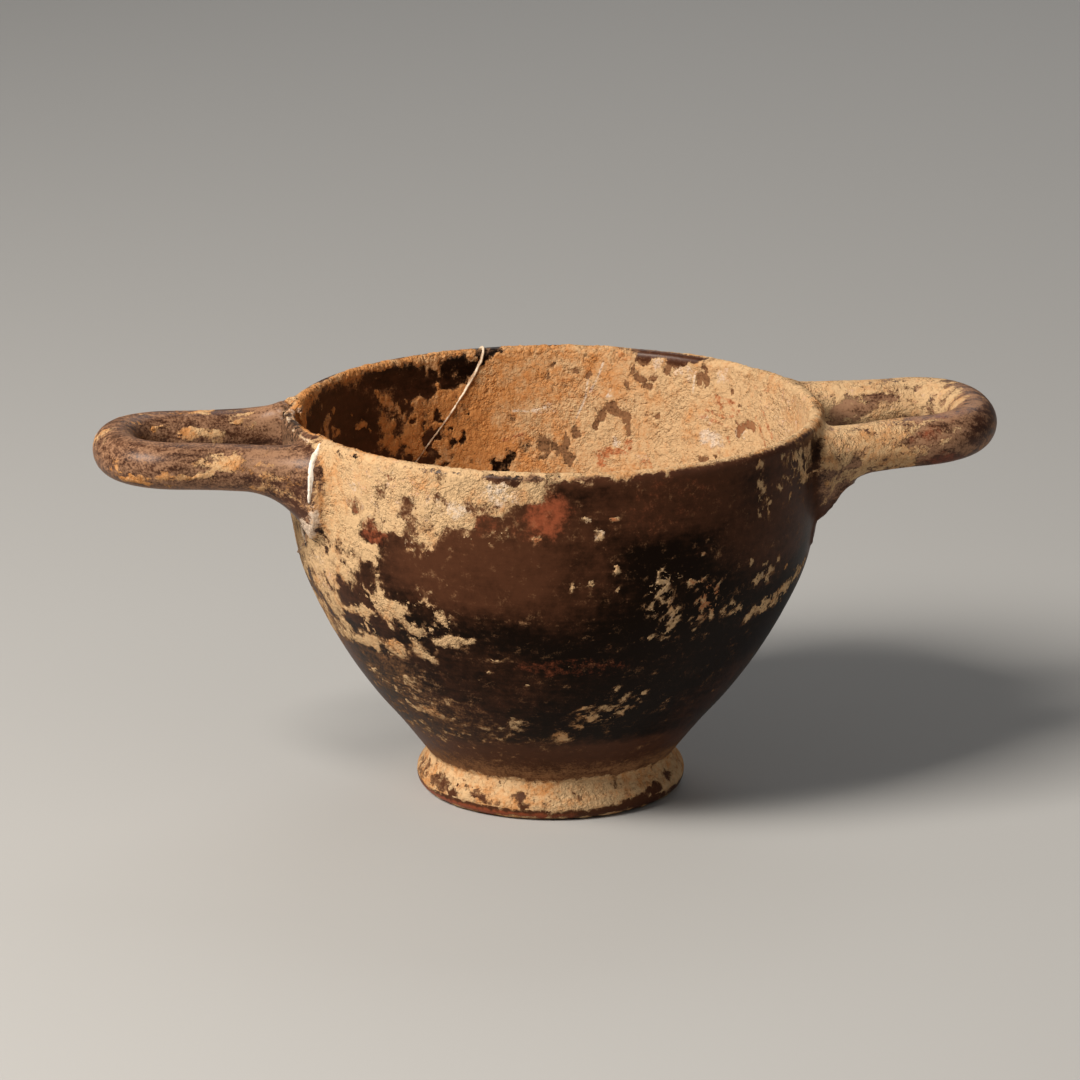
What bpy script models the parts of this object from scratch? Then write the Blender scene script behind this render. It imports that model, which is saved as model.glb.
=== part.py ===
"""A two-handled drinking cup of fired clay: a deep turned bowl on a ring foot, with a horizontal loop
handle at each side of the rim. Metres, +Z up; the origin is the centre of the foot's standing face,
and the handles lie along X."""

import math
from dataclasses import dataclass

import bmesh
import bpy
from mathutils import Matrix, Vector

COLLECTION = "skyphos"

# Bowl
RIM_HEIGHT = 0.0876
RIM_RADIUS = 0.0598
WALL = 0.0036
LIP_THICKNESS = 0.0030
FLOOR_THICKNESS = 0.0058
RIM_SHIFT = 0.0012  # the bowl leans on its foot: the rim's centre stands this far towards +X

# Ring foot
FOOT_RADIUS = 0.0303
FOOT_WIDEST_HEIGHT = 0.0027
SHOULDER_HEIGHT = 0.0055
SHOULDER_INSET = 0.0010  # how far the foot's upper edge stands inside its widest line
NECK_HEIGHT = 0.0085
NECK_INSET = 0.0026
STANDING_INSET = 0.0033
STANDING_WIDTH = 0.0046
RECESS_DEPTH = 0.0040
RECESS_WALL_SLOPE = 0.0016
RECESS_BOSS = 0.0010  # the underside swells down this far at its centre

# Outside of the wall from neck to rim: share of the way up, share of the way out
WALL_STATIONS = (
    (0.116, 0.218),
    (0.207, 0.403),
    (0.320, 0.594),
    (0.456, 0.776),
    (0.591, 0.912),
    (0.739, 0.970),
    (0.886, 0.989),
)

# Fineness
TURNS = 54
LIP_STEPS = 6
WALL_STEPS = 2
FLOOR_STEPS = 4
FOOT_STEPS = 4
ARM_STEPS = 10
BEND_STEPS = 12
TUBE_RESOLUTION = 4
TURNED_MERGE = 0.00001
CAP_MERGE = 0.000001


@dataclass(frozen=True)
class LoopHandle:
    """A round bar bent to a horseshoe; the sizes are in metres, the roll in radians."""

    name: str
    side: int
    diameter: float
    projection: float  # from the rim out to the end of the loop
    root_spread: float  # between the arms' middles at the wall
    bend_spread: float  # the same where the bend starts
    drop: float  # from the rim down to the arms' middles at the wall
    rise: float  # how far the loop climbs on its way out
    roll: float  # turns the farther arm up
    root_length: float  # how far out from the wall the arms begin to widen
    root_side: float  # how much further an arm reaches to each side at the wall
    root_top: float  # the same upwards
    root_under: float  # the same downwards


LEFT_HANDLE = LoopHandle(
    name="left_handle",
    side=-1,
    diameter=0.0103,
    projection=0.0434,
    root_spread=0.0372,
    bend_spread=0.0299,
    drop=0.0078,
    rise=0.0014,
    roll=math.radians(-0.5),
    root_length=0.0145,
    root_side=0.0032,
    root_top=0.0016,
    root_under=0.0102,
)
RIGHT_HANDLE = LoopHandle(
    name="right_handle",
    side=1,
    diameter=0.0112,
    projection=0.0403,
    root_spread=0.0357,
    bend_spread=0.0301,
    drop=0.0075,
    rise=0.0021,
    roll=math.radians(2.4),
    root_length=0.0125,
    root_side=0.0032,
    root_top=0.0004,
    root_under=0.0084,
)


def lerp(start, end, share):
    return start + (end - start) * share


def ease(share):
    """0 to 1 with a level start and end."""
    share = min(1.0, max(0.0, share))
    return share * share * (3 - 2 * share)


def smooth_through(points, steps):
    """Points of a smooth curve that passes through each given point, with so many steps between two."""
    ends = [2 * points[0] - points[1], *points, 2 * points[-1] - points[-2]]
    curve = []
    for before, start, end, after in zip(ends, ends[1:], ends[2:], ends[3:]):
        for step in range(steps):
            t = step / steps
            curve.append(
                start
                + (end - before) * (t / 2)
                + (2 * before - 5 * start + 4 * end - after) * (t * t / 2)
                + (3 * start - before - 3 * end + after) * (t**3 / 2)
            )
    return [*curve, points[-1]]


def outside_wall():
    """(radius, height) down the outside of the bowl, from under the lip to the neck."""
    top = Vector((RIM_RADIUS, RIM_HEIGHT - LIP_THICKNESS / 2))
    neck = Vector((FOOT_RADIUS - NECK_INSET, NECK_HEIGHT))
    stations = [
        Vector((lerp(neck.x, top.x, out), lerp(neck.y, top.y, up)))
        for up, out in reversed(WALL_STATIONS)
    ]
    return smooth_through([top, *stations, neck], WALL_STEPS)


def inside_wall(outside, depth_share=1.0):
    """The outside moved in by that share of the wall, from just over the floor up to the lip."""
    moved = []
    last = len(outside) - 1
    for index, point in enumerate(outside):
        along = outside[min(index + 1, last)] - outside[max(index - 1, 0)]
        inwards = Vector((along.y, -along.x)).normalized()
        thickness = lerp(LIP_THICKNESS, WALL, min(1.0, 4 * index / last))
        moved.append(point + inwards * (thickness * depth_share))
    lowest = RECESS_DEPTH + FLOOR_THICKNESS + WALL / 2
    return [point for point in reversed(moved) if point.y > lowest]


def floor(edge):
    """The floor from the axis outwards, nearly flat and then curving up to the wall's lowest point."""
    level = RECESS_DEPTH + FLOOR_THICKNESS
    shares = [step / FLOOR_STEPS for step in range(FLOOR_STEPS)]
    return [Vector((edge.x * share, lerp(level, edge.y, share**4))) for share in shares]


def lip():
    """The round of the lip, from its inner side over the top to its outer side."""
    radius = LIP_THICKNESS / 2
    centre = Vector((RIM_RADIUS - radius, RIM_HEIGHT - radius))
    angles = [math.pi * (1 - step / LIP_STEPS) for step in range(1, LIP_STEPS)]
    return [centre + radius * Vector((math.cos(a), math.sin(a))) for a in angles]


def foot():
    """Down the outside of the foot, across its standing face and up into the recess to the axis."""
    shoulder = Vector((FOOT_RADIUS - SHOULDER_INSET, SHOULDER_HEIGHT))
    widest = Vector((FOOT_RADIUS, FOOT_WIDEST_HEIGHT))
    standing_edge = FOOT_RADIUS - STANDING_INSET
    upper_round = [
        Vector((
            lerp(shoulder.x, widest.x, math.sin(angle)),
            lerp(widest.y, shoulder.y, math.cos(angle)),
        ))
        for angle in (math.pi / 2 * step / FOOT_STEPS for step in range(FOOT_STEPS))
    ]
    lower_round = [
        Vector((
            lerp(standing_edge, widest.x, math.cos(angle)),
            widest.y * (1 - math.sin(angle)),
        ))
        for angle in (math.pi / 2 * step / FOOT_STEPS for step in range(FOOT_STEPS + 1))
    ]
    inner_edge = standing_edge - STANDING_WIDTH
    recess_edge = inner_edge - RECESS_WALL_SLOPE
    return [
        *upper_round,
        *lower_round,
        Vector((inner_edge, 0.0)),
        Vector((recess_edge, RECESS_DEPTH)),
        Vector((recess_edge / 2, RECESS_DEPTH - RECESS_BOSS / 4)),
        Vector((0.0, RECESS_DEPTH - RECESS_BOSS)),
    ]


def turned(name, profile, collection):
    """A solid turned about Z from (radius, height) points that begin and end on the axis."""
    mesh = bpy.data.meshes.new(name)
    points = [(point.x, 0.0, point.y) for point in profile]
    edges = [(i, i + 1) for i in range(len(points) - 1)]
    mesh.from_pydata(points, edges, [])
    solid = bpy.data.objects.new(name, mesh)
    collection.objects.link(solid)
    screw = solid.modifiers.new("turn", "SCREW")
    screw.steps = TURNS
    screw.render_steps = TURNS
    screw.use_merge_vertices = True
    screw.merge_threshold = TURNED_MERGE
    return solid


def wall_x(loop):
    """Where the middle of an arm meets the outside of the rim."""
    return math.sqrt(RIM_RADIUS**2 - (loop.root_spread / 2) ** 2)


def nearness(loop, x):
    """How near the wall a place on an arm is: 1 at the wall, 0 where the arm has its plain round."""
    return min(1.0, max(0.0, 1 - (x - wall_x(loop)) / loop.root_length))


def middle_height(loop, x, y):
    """Height of the bar's middle at a place on the +X side."""
    climb = loop.rise * (x - wall_x(loop)) / loop.projection
    return RIM_HEIGHT - loop.drop + climb + math.sin(loop.roll) * y * loop.side


def loop_line(loop):
    """(point, radius) along the middle of a handle on the +X side: out, round the bend and back."""
    bar = loop.diameter / 2
    bend = loop.bend_spread / 2
    bend_x = RIM_RADIUS + loop.projection - bar - bend
    outer_y = loop.root_spread / 2 + bar + loop.root_side
    buried_x = math.sqrt((RIM_RADIUS - WALL) ** 2 - outer_y**2)
    arm = []
    for step in range(ARM_STEPS):
        x = lerp(buried_x, bend_x, step / ARM_STEPS)
        outwards = ease((x - wall_x(loop)) / (bend_x - wall_x(loop)))
        arm.append(Vector((x, -lerp(loop.root_spread / 2, bend, outwards))))
    turn = [
        Vector((bend_x + bend * math.sin(angle), -bend * math.cos(angle)))
        for angle in (math.pi * step / BEND_STEPS for step in range(BEND_STEPS + 1))
    ]
    back = [Vector((point.x, -point.y)) for point in reversed(arm)]
    return [
        (
            Vector((x, y, middle_height(loop, x, y))),
            bar + loop.root_side * nearness(loop, x) ** 4,
        )
        for x, y in [*arm, *turn, *back]
    ]


def shape_roots(mesh, loop):
    """Draws the underside of each arm down the wall in a long web, and its top up by a little."""
    for vertex in mesh.vertices:
        x = abs(vertex.co.x)
        near = nearness(loop, x)
        arm_y = math.copysign(loop.root_spread / 2, vertex.co.y * loop.side)
        middle = middle_height(loop, x, arm_y)
        round_radius = loop.diameter / 2 + loop.root_side * near**4
        if vertex.co.z > middle:
            reach = loop.diameter / 2 + loop.root_top * near**4
        else:
            web = loop.root_under - loop.root_side
            reach = round_radius + web * near**2
        if near > 0:
            vertex.co.z = middle + (vertex.co.z - middle) * reach / round_radius


def bar_along(loop, collection):
    """The handle as one closed mesh, with both ends buried in the wall."""
    curve = bpy.data.curves.new(loop.name, "CURVE")
    curve.dimensions = "3D"
    curve.bevel_depth = loop.diameter / 2
    curve.bevel_resolution = TUBE_RESOLUTION
    curve.use_fill_caps = True
    line = loop_line(loop)
    spline = curve.splines.new("POLY")
    spline.points.add(len(line) - 1)
    for spline_point, (point, radius) in zip(spline.points, line):
        spline_point.co = (loop.side * point.x, loop.side * point.y, point.z, 1.0)
        spline_point.radius = radius / curve.bevel_depth
    guide = bpy.data.objects.new(loop.name + "_guide", curve)
    collection.objects.link(guide)
    graph = bpy.context.evaluated_depsgraph_get()
    mesh = bpy.data.meshes.new_from_object(guide.evaluated_get(graph))
    welded = bmesh.new()
    welded.from_mesh(mesh)
    bmesh.ops.remove_doubles(welded, verts=welded.verts, dist=CAP_MERGE)
    welded.to_mesh(mesh)
    welded.free()
    shape_roots(mesh, loop)
    bar = bpy.data.objects.new(loop.name, mesh)
    bar.matrix_world = guide.matrix_world
    collection.objects.link(bar)
    bpy.data.objects.remove(guide)
    return bar


def combine(target, tool, operation):
    boolean = target.modifiers.new(operation.lower() + "_" + tool.name, "BOOLEAN")
    boolean.operation = operation
    boolean.object = tool


def fired_clay():
    """Fired clay under a dark slip, dulled by earth."""
    material = bpy.data.materials.new("slipped_clay")
    material.use_nodes = True
    shader = material.node_tree.nodes["Principled BSDF"]
    shader.inputs["Base Color"].default_value = (0.11, 0.055, 0.032, 1.0)
    shader.inputs["Roughness"].default_value = 0.5
    shader.inputs["Metallic"].default_value = 0.0
    return material


def main():
    for stale in list(bpy.data.objects):
        bpy.data.objects.remove(stale)
    parts = bpy.data.collections.new(COLLECTION)
    cutters = bpy.data.collections.new("cutters")
    for collection in (parts, cutters):
        bpy.context.scene.collection.children.link(collection)

    # Bowl and foot, turned in one
    outside = outside_wall()
    inside = inside_wall(outside)
    profile = [*floor(inside[0]), *inside, *lip(), *outside, *foot()]
    bowl = turned("bowl", profile, cutters)

    # A core out to the middle of the wall, where the handles' ends are cut off
    middle = inside_wall(outside, depth_share=0.5)
    over_rim = 2 * RIM_HEIGHT
    core_profile = [
        Vector((0.0, over_rim)),
        Vector((middle[-1].x, over_rim)),
        *reversed(middle),
        Vector((0.0, middle[0].y)),
    ]
    core = turned("core", core_profile, cutters)

    helpers = [bowl, core]
    for loop in (LEFT_HANDLE, RIGHT_HANDLE):
        bar = bar_along(loop, cutters)
        combine(bar, core, "DIFFERENCE")
        combine(bowl, bar, "UNION")
        helpers.append(bar)

    # One fired piece
    graph = bpy.context.evaluated_depsgraph_get()
    fired = bpy.data.meshes.new_from_object(bowl.evaluated_get(graph))
    fired.transform(Matrix.Shear("XY", 4, (RIM_SHIFT / RIM_HEIGHT, 0.0)))
    fired.shade_smooth()
    fired.set_sharp_from_angle(angle=math.radians(35))
    fired.materials.clear()
    fired.materials.append(fired_clay())
    parts.objects.link(bpy.data.objects.new("skyphos", fired))
    for helper in helpers:
        helper.hide_render = True
        helper.display_type = "WIRE"


main()
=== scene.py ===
"""Looks of an excavated two-handled drinking cup: worn dark slip over fired clay, earth inside and in patches
outside, a glued break and a plaster fill. Metres, +Z up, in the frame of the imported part."""

import logging
import math
from dataclasses import dataclass
from enum import Enum
from typing import Any, Callable, Iterable, Sequence

import bpy
import numpy as np
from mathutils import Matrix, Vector, noise


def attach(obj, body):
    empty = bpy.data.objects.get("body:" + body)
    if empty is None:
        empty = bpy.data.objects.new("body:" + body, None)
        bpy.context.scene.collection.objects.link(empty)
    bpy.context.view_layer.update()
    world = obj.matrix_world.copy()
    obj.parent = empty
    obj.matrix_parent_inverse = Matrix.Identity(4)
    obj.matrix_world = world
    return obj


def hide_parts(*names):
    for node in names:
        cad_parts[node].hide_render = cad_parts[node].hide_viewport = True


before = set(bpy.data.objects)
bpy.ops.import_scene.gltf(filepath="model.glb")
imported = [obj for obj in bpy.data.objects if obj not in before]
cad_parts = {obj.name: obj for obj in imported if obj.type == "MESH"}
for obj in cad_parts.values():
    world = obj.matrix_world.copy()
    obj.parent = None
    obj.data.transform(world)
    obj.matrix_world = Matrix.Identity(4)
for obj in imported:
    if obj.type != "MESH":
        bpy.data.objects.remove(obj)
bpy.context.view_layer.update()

Array = np.ndarray
Colour = tuple[float, float, float]

MM = 0.001
BODY = "root"
NODE = "skyphos"
PHOTO_SIDE = 1080  # pixels of the reference frame


def smooth(low: float, high: float, value: Array) -> Array:
    """Rises from 0 at low to 1 at high with a level start and end."""
    share = np.clip((value - low) / (high - low), 0.0, 1.0)
    return share * share * (3 - 2 * share)


def lerp(start: Any, end: Any, share: Any) -> Any:
    """The value at that share of the way from start to end."""
    return start + (end - start) * share


def grain(
    points: Array, size: float, octaves: int, seed: float, stretch: Sequence[float] = (1, 1, 1)
) -> Array:
    """Fractal noise at each point.

    Args:
        points: places in metres, one a row.
        size: length of the largest waves in metres.
        octaves: how many times the waves are halved.
        seed: moves the pattern, so that two fields differ.
        stretch: how much longer the waves are along each axis.

    Returns:
        One value a point, about -1 to 1.
    """
    scaled = points / (size * np.array(stretch)) + seed * np.array((17.3, -9.1, 5.7))
    return np.array([noise.fractal(place, 0.7, 2.1, octaves) for place in scaled.tolist()])


class Painted(Enum):
    """Values kept on a mesh's points, that the finishes read."""

    COVER = "cover"  # over 0 is earth, under 0 bare slip
    WARM = "warm"  # earth from tan to orange
    PALE = "pale"  # whitish earth
    BRICK = "brick"  # reddish earth
    FILM = "film"  # brown film on the slip
    RED = "red"  # slip that fired or wore red
    VEIL = "veil"  # dust in the slip's pores; on the sunlit inner wall it is also painted light, and between the left handle's arms partly a painted sheen
    HANDLE = "handle"  # where the slip is greyed by dust and has the handles' dull shine; between the left handle's arms the grey is partly a painted sheen
    SOILED = "soiled"  # dirt on glue and plaster


@dataclass(frozen=True)
class TurnedForm:
    """The bowl and its ring foot as the wheel left them."""

    rim_height: float = 0.0876
    rim_radius: float = 0.0598
    wall: float = 0.0036
    lip_thickness: float = 0.0030
    floor_thickness: float = 0.0058
    rim_shift: float = 0.0012
    foot_radius: float = 0.0303
    foot_widest_height: float = 0.0027
    shoulder_height: float = 0.0055
    shoulder_inset: float = 0.0010
    neck_height: float = 0.0085
    neck_inset: float = 0.0026
    standing_inset: float = 0.0033
    standing_width: float = 0.0046
    recess_depth: float = 0.0040
    recess_wall_slope: float = 0.0016
    recess_boss: float = 0.0010
    stations: tuple[tuple[float, float], ...] = (
        (0.116, 0.218),
        (0.207, 0.403),
        (0.320, 0.594),
        (0.456, 0.776),
        (0.591, 0.912),
        (0.739, 0.970),
        (0.886, 0.989),
    )
    steps: int = 8

    def through(self, points: Sequence[Array]) -> list[Array]:
        """Points of a smooth curve through the given ones, self.steps from one to the next.

        Args:
            points: (radius, height) places in order.

        Returns:
            The curve's points, with the given ones among them.
        """
        ends = [2 * points[0] - points[1], *points, 2 * points[-1] - points[-2]]
        curve = []
        for before, start, end, after in zip(ends, ends[1:], ends[2:], ends[3:]):
            for step in range(self.steps):
                t = step / self.steps
                curve.append(
                    start
                    + (end - before) * (t / 2)
                    + (2 * before - 5 * start + 4 * end - after) * (t * t / 2)
                    + (3 * start - before - 3 * end + after) * (t**3 / 2)
                )
        return [*curve, points[-1]]

    def outside(self) -> list[Array]:
        """(radius, height) down the outside of the bowl, from under the lip to the neck.

        Returns:
            The outline's points.
        """
        top = np.array((self.rim_radius, self.rim_height - self.lip_thickness / 2))
        neck = np.array((self.foot_radius - self.neck_inset, self.neck_height))
        shares = [np.array((out, up)) for up, out in reversed(self.stations)]
        return self.through([top, *(neck + (top - neck) * share for share in shares), neck])

    def inside(self, depth_share: float = 1.0) -> list[Array]:
        """The outside moved in by a share of the wall, from just over the floor up to the lip.

        Args:
            depth_share: 1 for the inner face, 0.5 for the middle of the wall.

        Returns:
            The outline's points, upwards.
        """
        outside = self.outside()
        last = len(outside) - 1
        moved = []
        for index, point in enumerate(outside):
            along = outside[min(index + 1, last)] - outside[max(index - 1, 0)]
            inwards = np.array((along[1], -along[0])) / np.hypot(*along)
            thickness = lerp(self.lip_thickness, self.wall, min(1.0, 4 * index / last))
            moved.append(point + inwards * thickness * depth_share)
        lowest = self.recess_depth + self.floor_thickness + self.wall / 2
        return [point for point in reversed(moved) if point[1] > lowest]

    def floor(self, edge: Array) -> list[Array]:
        """The floor from the axis outwards, nearly flat and then curving up to the wall.

        Args:
            edge: (radius, height) where the wall begins.

        Returns:
            The outline's points, without the edge.
        """
        level = self.recess_depth + self.floor_thickness
        shares = np.arange(2 * self.steps) / (2 * self.steps)
        return [np.array((edge[0] * share, lerp(level, edge[1], share**4))) for share in shares]

    def lip(self) -> list[Array]:
        """The round of the lip, from its inner side over the top to its outer side.

        Returns:
            The outline's points, without the two where it meets the faces.
        """
        radius = self.lip_thickness / 2
        centre = np.array((self.rim_radius - radius, self.rim_height - radius))
        angles = math.pi * (1 - np.arange(1, 2 * self.steps) / (2 * self.steps))
        return [centre + radius * np.array((math.cos(angle), math.sin(angle))) for angle in angles]

    def foot(self) -> list[Array]:
        """Down the outside of the foot, across its standing face and up into the recess.

        Returns:
            The outline's points, down to the axis.
        """
        shoulder = np.array((self.foot_radius - self.shoulder_inset, self.shoulder_height))
        widest = np.array((self.foot_radius, self.foot_widest_height))
        standing_edge = self.foot_radius - self.standing_inset
        quarter = math.pi / 2 * np.arange(self.steps + 1) / self.steps
        upper = [
            np.array((lerp(shoulder[0], widest[0], math.sin(a)), lerp(widest[1], shoulder[1], math.cos(a))))
            for a in quarter[:-1]
        ]
        lower = [
            np.array((lerp(standing_edge, widest[0], math.cos(a)), widest[1] * (1 - math.sin(a))))
            for a in quarter
        ]
        inner_edge = standing_edge - self.standing_width
        recess_edge = inner_edge - self.recess_wall_slope
        return [
            *upper,
            *lower,
            np.array((inner_edge, 0.0)),
            np.array((recess_edge, self.recess_depth)),
            np.array((recess_edge / 2, self.recess_depth - self.recess_boss / 4)),
            np.array((0.0, self.recess_depth - self.recess_boss)),
        ]

    def profile(self) -> Array:
        """The whole outline from the middle of the floor round to the middle of the underside."""
        inside = self.inside()
        return np.array([*self.floor(inside[0]), *inside, *self.lip(), *self.outside(), *self.foot()])

    def core(self) -> Array:
        """The outline of what lies inside the middle of the wall, open upwards.

        Returns:
            (radius, height) points that begin and end on the axis.
        """
        middle = self.inside(depth_share=0.5)
        above = 2 * self.rim_height
        bottom = self.recess_depth + self.floor_thickness / 2
        bottom_edge = self.foot_radius - self.neck_inset - self.wall
        top = ((0.0, above), (middle[-1][0], above))
        return np.array([*top, *reversed(middle), (bottom_edge, bottom), (0.0, bottom)])


class DistanceChart:
    """Signed distance from a turned outline, on a grid of radius and height, negative in the solid."""

    STEP = 0.25 * MM
    LOW = np.array((-1.0, -6.0)) * MM
    HIGH = np.array((112.0, 104.0)) * MM

    def __init__(self, outline: Array) -> None:
        """Measures the grid.

        Args:
            outline: (radius, height) points that begin and end on the axis.
        """
        radii = np.arange(self.LOW[0], self.HIGH[0], self.STEP)
        heights = np.arange(self.LOW[1], self.HIGH[1], self.STEP)
        grid = np.stack(np.meshgrid(radii, heights, indexing="ij"), axis=-1)
        places = grid.reshape(-1, 2)
        nearest = np.full(len(places), np.inf)
        within = np.zeros(len(places), bool)
        closed = np.vstack([outline, outline[:1]])
        for index, (start, end) in enumerate(zip(closed[:-1], closed[1:])):
            along = end - start
            if index < len(outline) - 1:
                share = np.clip((places - start) @ along / max(along @ along, 1e-18), 0.0, 1.0)
                gap = places - start - share[:, None] * along
                nearest = np.minimum(nearest, np.einsum("ij,ij->i", gap, gap))
            if start[1] != end[1]:
                crosses = (start[1] > places[:, 1]) != (end[1] > places[:, 1])
                crossing = start[0] + (places[:, 1] - start[1]) * along[0] / along[1]
                within ^= crosses & (np.abs(places[:, 0]) < crossing)
        signed = np.where(within, -1.0, 1.0) * np.sqrt(nearest)
        self.values = signed.reshape(grid.shape[:2])

    def at(self, radius: Array, height: Array) -> Array:
        """Distance at each radius and height, between the grid's lines.

        Args:
            radius: metres from the axis.
            height: metres.

        Returns:
            Metres, negative in the solid.
        """
        place = (np.stack([radius, height], axis=-1) - self.LOW) / self.STEP
        limit = np.array(self.values.shape) - 2
        corner = np.clip(np.floor(place).astype(int), 0, limit)
        share = np.clip(place - corner, 0.0, 1.0)
        i, j = corner[:, 0], corner[:, 1]
        lower = lerp(self.values[i, j], self.values[i + 1, j], share[:, 0])
        upper = lerp(self.values[i, j + 1], self.values[i + 1, j + 1], share[:, 0])
        return lerp(lower, upper, share[:, 1])


@dataclass(frozen=True)
class LoopHandle:
    """A round bar bent to a horseshoe; lengths in metres."""

    side: int
    diameter: float
    projection: float
    root_spread: float
    bend_spread: float
    drop: float
    rise: float
    roll: float
    root_length: float
    root_side: float
    root_top: float
    root_under: float
    squareness: float  # below 1 the end of the loop is blunter than a half circle
    form: TurnedForm = TurnedForm()

    BEND_STEPS = 40
    ARM_STEPS = 30

    @property
    def bar(self) -> float:
        """Half the thickness of the bar."""
        return self.diameter / 2

    @property
    def wall_x(self) -> float:
        """Where the middle of an arm meets the outside of the rim."""
        return math.sqrt(self.form.rim_radius**2 - (self.root_spread / 2) ** 2)

    @property
    def bend_x(self) -> float:
        """Where the bend begins."""
        return self.form.rim_radius + self.projection - self.bar - self.bend_spread / 2

    def plan(self) -> Array:
        """Points of the bar's middle line seen from above, from deep in the wall, round and back.

        Returns:
            x and y of each point on the +X side, one a row.
        """
        start_x = self.wall_x - 2 * self.form.wall
        arm_x = lerp(start_x, self.bend_x, np.arange(self.ARM_STEPS) / self.ARM_STEPS)
        out = smooth(self.wall_x, self.bend_x, arm_x)
        arm = np.stack([arm_x, -lerp(self.root_spread / 2, self.bend_spread / 2, out)], axis=1)
        angle = math.pi * np.arange(self.BEND_STEPS + 1) / self.BEND_STEPS
        half = self.bend_spread / 2
        cosine = np.cos(angle)
        bend = np.stack(
            [
                self.bend_x + half * np.sin(angle) ** self.squareness,
                -half * np.sign(cosine) * np.abs(cosine) ** self.squareness,
            ],
            axis=1,
        )
        return np.vstack([arm, bend, (arm * (1, -1))[::-1]])

    @property
    def length(self) -> float:
        """Length of the bar's middle line."""
        return float(np.hypot(*np.diff(self.plan(), axis=0).T).sum())

    def nearness(self, x: Array) -> Array:
        """1 at the wall, 0 where the arm has its plain round."""
        return np.clip(1 - (x - self.wall_x) / self.root_length, 0.0, 1.0)

    def middle_height(self, x: Array, y: Array) -> Array:
        """Height of the bar's middle; x and y are those of the +X side."""
        climb = self.rise * (x - self.wall_x) / self.projection
        return self.form.rim_height - self.drop + climb + math.sin(self.roll) * y * self.side

    def section(self, x: Array) -> tuple[Array, Array, Array]:
        """Reach of the bar to the side, upwards and downwards at a place along it.

        Args:
            x: how far out the place is.

        Returns:
            The three reaches in metres.
        """
        near = self.nearness(x)
        sideways = self.bar + self.root_side * near**4
        return (
            sideways,
            self.bar + self.root_top * near**4,
            sideways + (self.root_under - self.root_side) * near**2,
        )

    def follow(self, points: Array) -> tuple[Array, Array, Array]:
        """Where each point is along and around the bar.

        Args:
            points: places in the upright frame of the bowl.

        Returns:
            The share of the way along the middle line, the distance from it in plan, negative towards the
            loop's opening, and the place of the nearest point of that line, one a row.
        """
        line = self.plan()
        flat = points[:, :2] * self.side
        lengths = np.hypot(*np.diff(line, axis=0).T)
        total = lengths.sum()
        begun = np.concatenate([[0.0], np.cumsum(lengths)])
        best = np.full(len(flat), np.inf)
        share_along = np.zeros(len(flat))
        aside = np.zeros(len(flat))
        foot = np.zeros((len(flat), 2))
        for index, (start, end) in enumerate(zip(line[:-1], line[1:])):
            along = end - start
            share = np.clip((flat - start) @ along / (along @ along), 0.0, 1.0)
            near = start + share[:, None] * along
            gap = flat - near
            distance = np.hypot(gap[:, 0], gap[:, 1])
            closer = distance < best
            turn = along[0] * gap[:, 1] - along[1] * gap[:, 0]
            best = np.where(closer, distance, best)
            aside = np.where(closer, np.where(turn > 0, -distance, distance), aside)
            share_along = np.where(closer, (begun[index] + share * lengths[index]) / total, share_along)
            foot = np.where(closer[:, None], near, foot)
        return share_along, aside, foot

    def distance(self, points: Array) -> Array:
        """Signed distance from the bar's surface, near enough close to it.

        Args:
            points: places in the upright frame of the bowl.

        Returns:
            Metres, negative in the bar.
        """
        _, aside, foot = self.follow(points)
        sideways, upwards, downwards = self.section(foot[:, 0])
        lift = points[:, 2] - self.middle_height(foot[:, 0], foot[:, 1])
        tall = np.where(lift > 0, upwards, downwards)
        scaled = np.sqrt((aside / sideways) ** 2 + (lift / tall) ** 2)
        slope = np.sqrt((aside / sideways**2) ** 2 + (lift / tall**2) ** 2)
        return np.where(slope > 1e-6, (scaled - 1) * scaled / np.maximum(slope, 1e-6), -sideways)


LEFT_HANDLE = LoopHandle(
    side=-1,
    diameter=0.0103,
    projection=0.0434,
    root_spread=0.0372,
    bend_spread=0.0299,
    drop=0.0078,
    rise=0.0014,
    roll=math.radians(-0.5),
    root_length=0.0145,
    root_side=0.0032,
    root_top=0.0016,
    root_under=0.0102,
    squareness=0.86,
)
RIGHT_HANDLE = LoopHandle(
    side=1,
    diameter=0.0112,
    projection=0.0403,
    root_spread=0.0357,
    bend_spread=0.0301,
    drop=0.0075,
    rise=0.0021,
    roll=math.radians(2.4),
    root_length=0.0125,
    root_side=0.0032,
    root_top=0.0004,
    root_under=0.0084,
    squareness=0.86,
)


@dataclass(frozen=True)
class Web:
    """Clay smeared between two places: a round bar that swells from one radius to the other."""

    start: tuple[float, float, float]
    end: tuple[float, float, float]
    start_radius: float
    end_radius: float

    def distance(self, points: Array) -> Array:
        """Signed distance from the web's surface.

        Args:
            points: places in metres, one a row.

        Returns:
            Metres, negative in the clay.
        """
        start, end = np.array(self.start), np.array(self.end)
        along = end - start
        share = np.clip((points - start) @ along / (along @ along), 0.0, 1.0)
        gap = np.linalg.norm(points - start - share[:, None] * along, axis=1)
        return gap - lerp(self.start_radius, self.end_radius, share)


WEBS = (
    # from the left handle's farther arm up to the lip
    Web((-0.0668, 0.0172, 0.0820), (-0.0584, 0.0142, 0.0850), 0.0016, 0.0030),
    # under the right handle's nearer arm
    Web((0.0610, -0.0185, 0.0700), (0.0570, -0.0190, 0.0600), 0.0040, 0.0012),
)


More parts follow.
